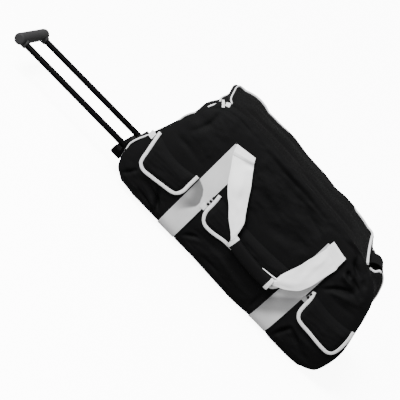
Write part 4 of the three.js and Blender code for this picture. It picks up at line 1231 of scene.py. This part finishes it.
class BAG_OT_straps(bpy.types.Operator):
    """Sews the two straps that run from the front under the base to the back"""

    bl_idname = "bag.sew_straps"
    bl_label = "Straps"

    def execute(self, context):
        thickness = context.scene.bag_webbing.thickness / MM
        for name in STRAPS:
            piece = lay_grid(
                f"strap_{name}_webbing", *GRIDS["strap"],
                lambda u, v, name=name: self.place(name, u, v, thickness), (820, WEB_WIDTH))
            thicken(piece, thickness * MM)
            # Painted shade marks on the front of the strap
            self.smudge(piece, name)
            register_piece(piece, "strap webbing", "white_webbing", f"strap_{name}")
        return {"FINISHED"}

    def place(self, name, u, v, thickness):
        """A place of the strap: down the front, under the base and up the back."""
        middle, top = STRAPS[name]
        x = middle + (v - 0.5) * WEB_WIDTH
        highest = level_of_height(top - 2 + STRAP_TILT[name] * (v - 0.5), x)
        lift = thickness + 0.5
        start, stop = STRAP_UNDER
        points = np.empty((len(u), 3))
        for side, rows in ((FRONT, u < start), (BACK, u > stop)):
            share = (u[rows] if side == FRONT else 1 - u[rows]) / start
            t = highest[rows] * (1 - share)
            s = x[rows] / long_reach(side, x[rows], levels_at(t))
            points[rows] = long_base(side, s, t) + long_out(side, s, t) * lift
            points[rows, 0] = x[rows]
        under = (u >= start) & (u <= stop)
        y = mix(-STRAP_UNDER_HALF, STRAP_UNDER_HALF, (u[under] - start) / (stop - start))
        points[under] = np.stack([x[under], y, np.full(y.shape, BASE_Z - lift)], -1)
        return points

    def smudge(self, piece, name):
        """Marks how grey each place of the webbing is: painted shade on the front of each strap."""
        points = np.empty(len(piece.data.vertices) * 3, np.float32)
        piece.data.vertices.foreach_get("co", points)
        x, y, z = (points.reshape(-1, 3) - (BAG_X, 0, 0)).T / MM
        if name == "left":
            # Painted shade, sharp along its edge higher up, blurred lower down, and fading away from the
            # edge
            blur = mix(14.0, 1.0, ease((z - 84) / 40))
            inside = ease((np.interp(z, *PAINTED_SHADE_EDGE.T) - x) / blur) * (z < PAINTED_SHADE_EDGE[-1, 0])
            away = np.abs(line_offset(PAINTED_SHADE_EDGE[:, ::-1], x, z))
            grey = inside * (1 - ease((away - 12) / 56)) * ease((z - 56) / 56)
        else:
            # A painted shadow of the carry handle: a slanting band across the webbing, darkest in the
            # middle
            up = z - (x - STRAPS[name][0])
            grey = 0.83 * ease((up - 35) / 40) * (1 - 0.9 * ease((up - 108) / 18))
        marks = piece.data.attributes.new("smudge", "FLOAT", "POINT")
        marks.data.foreach_set("value", (grey * (y < 0)).astype(np.float32))


class BAG_OT_carry_handles(bpy.types.Operator):
    """Sews the carry handles and their wrapped grips"""

    bl_idname = "bag.sew_carry_handles"
    bl_label = "Carry handles"

    def execute(self, context):
        thickness = context.scene.bag_webbing.thickness
        rows = curve_through(HANDLE_EDGES, GRIDS["carry handle"][0] + 1)
        for word, side in (("front", FRONT), ("back", BACK)):
            piece = lay_grid(
                f"carry_handle_{word}_webbing", *GRIDS["carry handle"],
                lambda u, v, side=side: self.place(rows, side, u, v), (HANDLE_LENGTH, WEB_WIDTH))
            thicken(piece, thickness)
            register_piece(piece, "white webbing", "white_webbing", f"carry_handle_{word}")
            for end, start, stop in (("left", 0.0, FOLD_DEPTH[0]), ("right", 1 - FOLD_DEPTH[1], 1.0)):
                fold = lay_grid(
                    f"carry_handle_{word}_fold_{end}", *GRIDS["handle fold"],
                    lambda u, v, side=side, start=start, stop=stop: self.place(
                        rows, side, mix(start, stop, u), v, self.fold_lift(u, start)),
                    (FOLD_LENGTH, WEB_WIDTH))
                thicken(fold, thickness)
                register_piece(fold, "white webbing", "white_webbing")
            self.wrap(word, side)
        return {"FINISHED"}

    def place(self, rows, side, u, v, lift=0.0):
        """A place of the webbing between its two edges, with its slack, its swell and its crease."""
        row = part_way(rows, u)
        share = v if side == FRONT else 1 - v
        left, _ = on_long(side, row[:, 0], row[:, 1], row[:, 4] + lift)
        right, _ = on_long(side, row[:, 2], row[:, 3], row[:, 4] + lift)
        points = mix(left, right, share[:, None])
        slack_room = np.sin(np.pi * v) * clamp01(u * 12) * clamp01((1 - u) * 12)
        wave = 1.4 + 3.2 * ripples(u * HANDLE_LENGTH, v * WEB_WIDTH, across=30, seed=41.0 * side)
        at, reach, height = STRAND_SWELL
        swell = height * bell(u, at, reach) * np.sin(np.pi * v)
        at, reach, height = STRAND_CREASE
        crease = height * bell(u, at, reach) * ease((v - 0.3) / 0.5)
        points[:, 1] += side * (wave * slack_room + swell - crease)
        return points

    def fold_lift(self, u, start):
        """How far a folded end stands off the strand: most at its top, least at its lower edge."""
        if start:
            return 0.6 + 3.2 * ease(u / 0.9)
        return 1.8 + 2.0 * ease((1 - u) / 0.3)

    def wrap(self, word, side):
        """The padded sleeve of the grip, its bound ends and the edge of the webbing above it."""
        line = curve_through(GRIP_LINE, 90)
        path, out = on_long(side, line[:, 0], line[:, 1], GRIP_LIFT)
        wide, deep = GRIP_WRAP

        def section(u, turn):
            swell = 1 + 0.05 * np.sin(np.pi * u)
            return squared(np.cos(turn), 0.75) * wide / 2 * swell, squared(np.sin(turn), 0.75) * deep / 2

        def bound(u, turn):
            a, b = section(0 * u, turn)
            return a * 1.05, b * 1.09

        sleeve = swept(f"handle_grip_{word}_sleeve", path, out, section, rows=32, girth=84)
        register_piece(sleeve, "black fabric", "black_fabric", f"handle_grip_{word}")
        count = round(GRIP_BINDING / path_length(path) * (len(path) - 1)) + 1
        for end, ring_rows in (("left", slice(0, count)), ("right", slice(-count, None))):
            name = f"handle_grip_{word}_binding_{end}"
            ring = swept(name, path[ring_rows], out[ring_rows], bound, rows=32, girth=88)
            register_piece(ring, "white trim", "white_trim")
        edge = curve_through(GRIP_EDGE_LINE, 40)
        strip, strip_out = on_long(side, edge[:, 0], edge[:, 1], GRIP_EDGE_LIFT)
        piece = swept(
            f"handle_grip_{word}_webbing_edge", strip, strip_out,
            lambda u, turn: ((0.7 + 0.9 * u) * np.cos(turn), 1.4 * np.sin(turn)), rows=8, girth=6)
        register_piece(piece, "white webbing", "white_webbing")


class BAG_OT_flaps(bpy.types.Operator):
    """Sews the pocket flaps with their bindings and the ends of the pocket zips"""

    bl_idname = "bag.sew_flaps"
    bl_label = "Pocket flaps"

    def execute(self, context):
        wall = context.scene.bag_cloth.wall
        for name, (line, turns, sag) in FLAP_LINES.items():
            line = np.array(line, float)
            width = np.ptp(line[:, 0])
            grid = GRIDS["wide flap" if width > WIDE_FLAP else "flap"]
            piece = lay_grid(
                f"flap_{name}_cloth", *grid,
                lambda u, v, line=line, turns=turns, sag=sag: self.place(line, turns, sag, u, v),
                (width, FLAP_TOP - FLAP_BOTTOM))
            thicken(piece, wall)
            register_piece(piece, "black fabric", "black_fabric", f"flap_{name}")
            self.binding(name, line)
            self.zip_end(name)
        return {"FINISHED"}

    def lift(self, z):
        """How far a flap stands off the panel: most at its free edge."""
        return 1.4 + 3.5 * clamp01((FLAP_TOP - z) / (FLAP_TOP - FLAP_BOTTOM)) ** 0.7

    def place(self, line, turns, sag, u, v):
        """The flap between its binding and its sagging hinge, standing off the panel and softly filled."""
        first, second = turns
        left = curve_through(line[:first + 1][::-1], 120)
        low = curve_through(line[first:second + 1], 240)
        right = curve_through(line[second:], 120)
        along = np.linspace(0, 1, 240)
        top = mix(line[0], line[-1], along[:, None])
        top[:, 1] -= sag * np.sin(np.pi * along)

        a, b = u[:, None], v[:, None]
        upwards = mix(part_way(low, u), part_way(top, u), b)
        sideways = mix(part_way(left, v), part_way(right, v), a)
        corners = mix(mix(low[0], low[-1], a), mix(top[0], top[-1], a), b)
        x, z = (upwards + sideways - corners).T
        edge = np.minimum(np.minimum(u, 1 - u) * np.ptp(line[:, 0]), v * 75)
        inside = ease((edge - 3) / 16)
        below = clamp01((1 - v) / 0.3)
        puff = (3.4 + 1.3 * ripples(x, z, across=WRINKLE_PITCH, seed=21.0)) * inside * below
        tuck = -5.4 * ease((v - 0.86) / 0.14) - 1.3 * bell(v, 0.87, 0.06)
        points, _ = on_long(FRONT, x, z, self.lift(z) + 2.6 + puff + tuck)
        return points

    def binding(self, name, line):
        line = curve_through(line, 240)
        path, out = on_long(FRONT, line[:, 0], line[:, 1], self.lift(line[:, 1]) + 1.5)
        tape = tape_section(TRIM_WIDTH, TRIM_THICKNESS)
        piece = swept(f"flap_{name}_binding", path, out, tape, rows=16, girth=26)
        register_piece(piece, "white trim", "white_trim", f"flap_{name}_trim")

    def zip_end(self, name):
        """The zip's turned-in tape, and the last of its teeth beside the binding."""
        middle, low, high, last, kind = ZIP_ENDS[name]

        def tape(u, v):
            z = mix(low, last, v)
            narrow = ease((z - high) / 2)
            width = mix(ZIP_TAPE["wide"], ZIP_TAPE["narrow"], narrow)
            x = middle + ZIP_TAPE["shift"] * narrow + (u - 0.5) * width
            points, _ = on_long(FRONT, x, z, ZIP_TAPE["lift"])
            return points

        cut = (ZIP_TAPE["wide"], last - low)
        piece = lay_grid(f"pocket_zip_{name}_tape", *GRIDS["zip tape"], tape, cut)
        thicken(piece, ZIP_TAPE["thickness"] * MM)
        register_piece(piece, kind, "white_trim", f"pocket_zip_{name}")
        teeth = [
            self.tooth(f"pocket_zip_{name}_tooth", middle + ZIP_TAPE["shift"], z)
            for z in np.arange(high + 4.5, last - 2, ZIP_TOOTH["pitch"])
        ]
        if teeth:
            register_piece(joined(teeth, f"pocket_zip_{name}_teeth"), "zip", "black_zip")

    def tooth(self, name, x, z):
        half = ZIP_TOOTH["half_length"]
        path, out = on_long(FRONT, np.full(7, x), np.linspace(z - half, z + half, 7), ZIP_TOOTH["lift"])
        section = tape_section(ZIP_TOOTH["width"], ZIP_TOOTH["thickness"])
        return swept(name, path, out, section, rows=12, girth=14)


class BAG_OT_grab_loop(bpy.types.Operator):
    """Sews the bound grab loop on the shoulder of the wheel end"""

    bl_idname = "bag.sew_grab_loop"
    bl_label = "Grab loop"

    def execute(self, context):
        middle, wide = GRAB_LOOP["middle"], GRAB_LOOP["width"] - GRAB_LOOP["trim"]
        last = GRIDS["grab loop"][0]
        start, end = (self.root(np.array([middle]), level)[0] for level in GRAB_ROOTS)
        line = curve_through([
            start, start + (3, 0, 7), start + (14, 0, 12.5), start + (25, 0, 11.5), start + (33, 0, 7),
            end + (20, 0, 12), end + (13, 0, 2.5), end,
        ], last + 1)
        out = self.out_of(line)

        def band(centre, width, outer):
            def place(u, v):
                k = np.rint(u * last).astype(int)
                y = centre + (v - 0.5) * width
                upper, lower = (self.root(y, level) for level in GRAB_ROOTS)
                rise = line[k] - mix(start, end, u[:, None])
                return mix(upper, lower, u[:, None]) + rise + out[k] * outer

            return place

        cut = (GRAB_LOOP["length"], wide)
        cloth = lay_grid("grab_loop_cloth", *GRIDS["grab loop"], band(middle, wide, 2.6), cut)
        thicken(cloth, GRAB_LOOP["thickness"] * MM)
        register_piece(cloth, "black fabric", "black_fabric", "grab_loop")
        steps = np.arange(last + 1) / last
        for word, side, outer in (("front", FRONT, 1.6), ("back", BACK, -0.4)):
            path = band(middle + side * wide / 2, 0.0, outer)(steps, np.full(steps.shape, 0.5))
            path[:, 1] -= side * 2.0 * (1 - ease((steps - 0.5) / 0.12))
            name = f"grab_loop_binding_{word}"
            piece = swept(name, path, self.out_of(path), self.worn_tape, rows=12, girth=14)
            register_piece(piece, "white trim", "white_trim", f"grab_loop_trim_{word}")
        return {"FINISHED"}

    def out_of(self, path):
        """The direction away from the bag along the loop."""
        return unit(np.cross(unit(np.gradient(path, axis=0)), (0.0, 1.0, 0.0)))

    def worn_tape(self, u, turn):
        """The binding stands out along the lower half of the loop and is drawn in along the upper."""
        a, b = tape_section(5.4, 5.2)(u, turn)
        size = mix(0.1, 1.0, ease((u - 0.5) / 0.12))
        return a * size, b * size

    def root(self, y, t):
        """A place on the wheel end where the loop is sewn on."""
        t = np.full(y.shape, t)
        q = y / (levels_at(t)[HALF_WIDTH] - CORNER_DROP)
        points = end_base(WHEEL_END, q, t) + end_out(WHEEL_END, q, t) * 2.45
        points[:, 1] = y
        return points


class BAG_OT_trolley(bpy.types.Operator):
    """Builds the trolley handle: two rods and a moulded grip"""

    bl_idname = "bag.build_trolley"
    bl_label = "Trolley handle"

    def execute(self, context):
        hardware = context.scene.bag_hardware
        for word, side in (("near", -1), ("far", 1)):
            low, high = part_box(f"rod_{word}")
            rod = turned(f"rod_{word}_tube", "X", [
                (low[0], hardware.rod_radius - 0.001), (low[0] + 0.001, hardware.rod_radius),
                (high[0] - 0.002, hardware.rod_radius), (high[0], hardware.rod_radius - 0.002),
            ], ((low[0] + high[0]) / 2, side * ROD["spread"] * MM, ROD["z"] * MM), segments=40)
            register_piece(rod, "rod", "black_metal", f"rod_{word}", body="trolley_handle", degrees=40)
        grip = self.build_grip()
        register_piece(grip, "grip", "grey_grip", "trolley_grip", body="trolley_handle", degrees=35)
        return {"FINISHED"}

    def build_grip(self):
        """A round bar with soft ends and a short collar for each rod."""
        low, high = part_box("trolley_grip")
        radius = GRIP_BAR["radius"]
        centre = (low[0] + GRIP_BAR["from_end"], 0.0, (low[2] + high[2]) / 2 + GRIP_BAR["raised"])
        left, right = soft_ends(low[1], high[1], radius, GRIP_BAR["soft"], count=7)
        pieces = [turned("trolley_grip_bar", "Y", left + right, centre, segments=48)]
        stop = centre[0] + radius + 0.006
        collar = [(centre[0], 0.0112), (stop - 0.003, 0.0108), (stop - 0.001, 0.0102), (stop, 0.009)]
        for side in (-1, 1):
            place = (centre[0], side * ROD["spread"] * MM, ROD["z"] * MM)
            pieces.append(turned("trolley_grip_collar", "X", collar, place, segments=40))
        return joined(pieces, "trolley_grip_moulding")


class BAG_OT_mouldings(bpy.types.Operator):
    """Builds the handle's bezel, the wheel chassis and the feet, and dresses the base, the guide tubes and
    the axles
    """

    bl_idname = "bag.build_mouldings"
    bl_label = "Mouldings"

    def execute(self, context):
        edge = context.scene.bag_hardware.edge
        for node, width, look in (
                ("handle_bezel", 2 * edge, "rod"), ("wheel_chassis", 1.3 * edge, "plastic"),
                ("foot_near", edge, "plastic"), ("foot_far", edge, "plastic")):
            piece = refined_copy(node, node + "_moulding", width)
            register_piece(piece, look, "black_plastic", node, degrees=35)
        for node in ("base_panel", "guide_tube_near", "guide_tube_far"):
            dress(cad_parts[node], "plastic")
        for node in ("axle_near", "axle_far"):
            dress(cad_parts[node], "rod")
        return {"FINISHED"}


class BAG_OT_wheels(bpy.types.Operator):
    """Builds the two wheels: a rubber tyre on a moulded hub"""

    bl_idname = "bag.build_wheels"
    bl_label = "Wheels"

    def execute(self, context):
        looks = (("tyre", "black_rubber", "rubber"), ("hub", "black_plastic", "plastic"))
        for word in ("near", "far"):
            for kind, slot, look in looks:
                node = f"{kind}_{word}"
                low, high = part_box(node)
                centre = (low + high) / 2
                outer = (high[0] - low[0]) / 2
                if kind == "tyre":
                    profile = self.tyre_profile(low[1], high[1], outer, TYRE_INNER * MM)
                else:
                    profile = self.hub_profile(low[1], high[1], outer, (AXLE_RADIUS + AXLE_PLAY) * MM)
                piece = turned(f"{node}_turned", "Y", profile, centre, segments=64, hollow=True)
                register_piece(piece, look, slot, node, body=f"wheel_{word}", degrees=32)
        return {"FINISHED"}

    def tyre_profile(self, y0, y1, outer, inner):
        """A tyre with rounded shoulders and a groove round the middle of its tread."""
        left, right = soft_ends(y0, y1, outer, soft=0.005, count=6)
        middle, floor = (y0 + y1) / 2, outer - 0.0014
        groove = [
            (middle - 0.002, outer), (middle - 0.0012, floor),
            (middle + 0.0012, floor), (middle + 0.002, outer),
        ]
        return [(y0, inner), *left, *groove, *right, (y1, inner)]

    def hub_profile(self, y0, y1, outer, bore):
        """A hub with a raised boss round its bore and a dished face on both sides."""
        dish = 0.003
        return [
            (y0 + 0.001, bore), (y0, bore + 0.001), (y0, bore + 0.004), (y0 + dish, bore + 0.006),
            (y0 + dish, outer - 0.004), (y0, outer - 0.0025), (y0 + 0.0006, outer), (y1 - 0.0006, outer),
            (y1, outer - 0.0025), (y1 - dish, outer - 0.004), (y1 - dish, bore + 0.006), (y1, bore + 0.004),
            (y1, bore + 0.001), (y1 - 0.001, bore),
        ]


class BAG_OT_stage(bpy.types.Operator):
    """Sets up the floor, the lights and the camera"""

    bl_idname = "bag.set_stage"
    bl_label = "Stage"

    def execute(self, context):
        stage = context.scene.bag_stage
        deselect()
        bpy.ops.mesh.primitive_plane_add(size=120)
        floor = name_new("studio_floor")
        floor.data.materials.append(self.floor_material(stage))
        # Even light from overhead, as from a white ceiling
        top = self.add_light("SUN", "top_light", TOP_LIGHT, (0, 0, 0), stage.top)
        top.angle = math.radians(24)
        # A softbox in front of the handle end, which shades the bag towards its wheels
        key = self.add_light("AREA", "key_softbox", KEY_LIGHT, KEY_AIM, stage.key)
        key.size = 0.7
        world = bpy.data.worlds.new("studio air")
        world.use_nodes = True
        world.node_tree.nodes["Background"].inputs["Color"].default_value = (1, 1, 1, 1)
        world.node_tree.nodes["Background"].inputs["Strength"].default_value = stage.sky
        context.scene.world = world
        self.add_camera(context, stage.lens)
        return {"FINISHED"}

    def floor_material(self, stage):
        """Pale paper that glows in the picture, but throws little light up under the bag."""
        finish = Finish("pale studio floor", 0.9, specular=0.1)
        patch, _ = finish.patches(2.5)
        finish.colours(stage.floor, 0.99, 1.01, patch)
        seen = finish.tree.nodes.new("ShaderNodeLightPath").outputs["Is Camera Ray"]
        finish.darken(math_node(finish.tree, "SUBTRACT", 1.0, seen), 1 - stage.bounce)
        finish.shader.inputs["Emission Color"].default_value = (1, 1, 1, 1)
        glow = math_node(finish.tree, "MULTIPLY", seen, stage.glow)
        finish.tree.links.new(glow, finish.shader.inputs["Emission Strength"])
        return finish.material

    def add_light(self, kind, name, place, aim, energy):
        deselect()
        bpy.ops.object.light_add(type=kind, location=place)
        light = name_new(name)
        light.rotation_euler = (Vector(aim) - Vector(place)).to_track_quat("-Z", "Y").to_euler()
        light.data.energy = energy
        return light.data

    def add_camera(self, context, lens):
        """The camera of the picture: square to the long side, tilted down and rolled."""
        pitch, roll = math.radians(CAMERA["pitch"]), math.radians(CAMERA["roll"])
        forward = Vector((0, math.cos(pitch), -math.sin(pitch)))
        right = Vector((1, 0, 0))
        up = right.cross(forward)
        across = right * math.cos(roll) + up * math.sin(roll)
        upwards = up * math.cos(roll) - right * math.sin(roll)
        place = Vector(metres(CAMERA["aim"])) - forward * CAMERA["distance"] * MM
        deselect()
        bpy.ops.object.camera_add()
        camera = name_new("photo_camera")
        camera.data.lens = lens
        camera.data.sensor_width = CAMERA["sensor"]
        camera.data.clip_end = 200
        turn = Matrix((across, upwards, -forward)).transposed().to_4x4()
        camera.matrix_world = Matrix.Translation(place) @ turn
        context.scene.camera = camera


STEPS = (
    BAG_OT_panels, BAG_OT_lid, BAG_OT_piping, BAG_OT_straps, BAG_OT_carry_handles, BAG_OT_flaps,
    BAG_OT_grab_loop, BAG_OT_trolley, BAG_OT_mouldings, BAG_OT_wheels, BAG_OT_stage,
)


class BAG_PT_sidebar(bpy.types.Panel):
    """Lists the settings and the steps"""

    bl_idname = "BAG_PT_sidebar"
    bl_label = "Tool Bag"
    bl_space_type = "VIEW_3D"
    bl_region_type = "UI"
    bl_category = "Tool Bag"

    def draw(self, context):
        for step in STEPS:
            self.layout.operator(step.bl_idname)
        for name in SETTINGS:
            settings = getattr(context.scene, name)
            box = self.layout.box()
            for key in settings.bl_rna.properties.keys():
                if key not in ("rna_type", "name"):
                    box.prop(settings, key)


SETTINGS = {
    "bag_cloth": ClothSettings,
    "bag_webbing": WebbingSettings,
    "bag_hardware": HardwareSettings,
    "bag_stage": StageSettings,
}


def register():
    for group in SETTINGS.values():
        bpy.utils.register_class(group)
    for name, group in SETTINGS.items():
        setattr(bpy.types.Scene, name, PointerProperty(type=group))
    for step in (*STEPS, BAG_PT_sidebar):
        bpy.utils.register_class(step)


def unregister():
    for step in (BAG_PT_sidebar, *reversed(STEPS)):
        bpy.utils.unregister_class(step)
    for name in SETTINGS:
        delattr(bpy.types.Scene, name)
    for group in SETTINGS.values():
        bpy.utils.unregister_class(group)


def main():
    register()
    bpy.ops.bag.sew_panels()
    bpy.ops.bag.sew_lid()
    bpy.ops.bag.pipe_ends()
    bpy.ops.bag.sew_straps()
    bpy.ops.bag.sew_carry_handles()
    bpy.ops.bag.sew_flaps()
    bpy.ops.bag.sew_grab_loop()
    bpy.ops.bag.build_trolley()
    bpy.ops.bag.build_mouldings()
    bpy.ops.bag.build_wheels()
    bpy.ops.bag.set_stage()
    deselect()


if __name__ == "__main__":
    main()
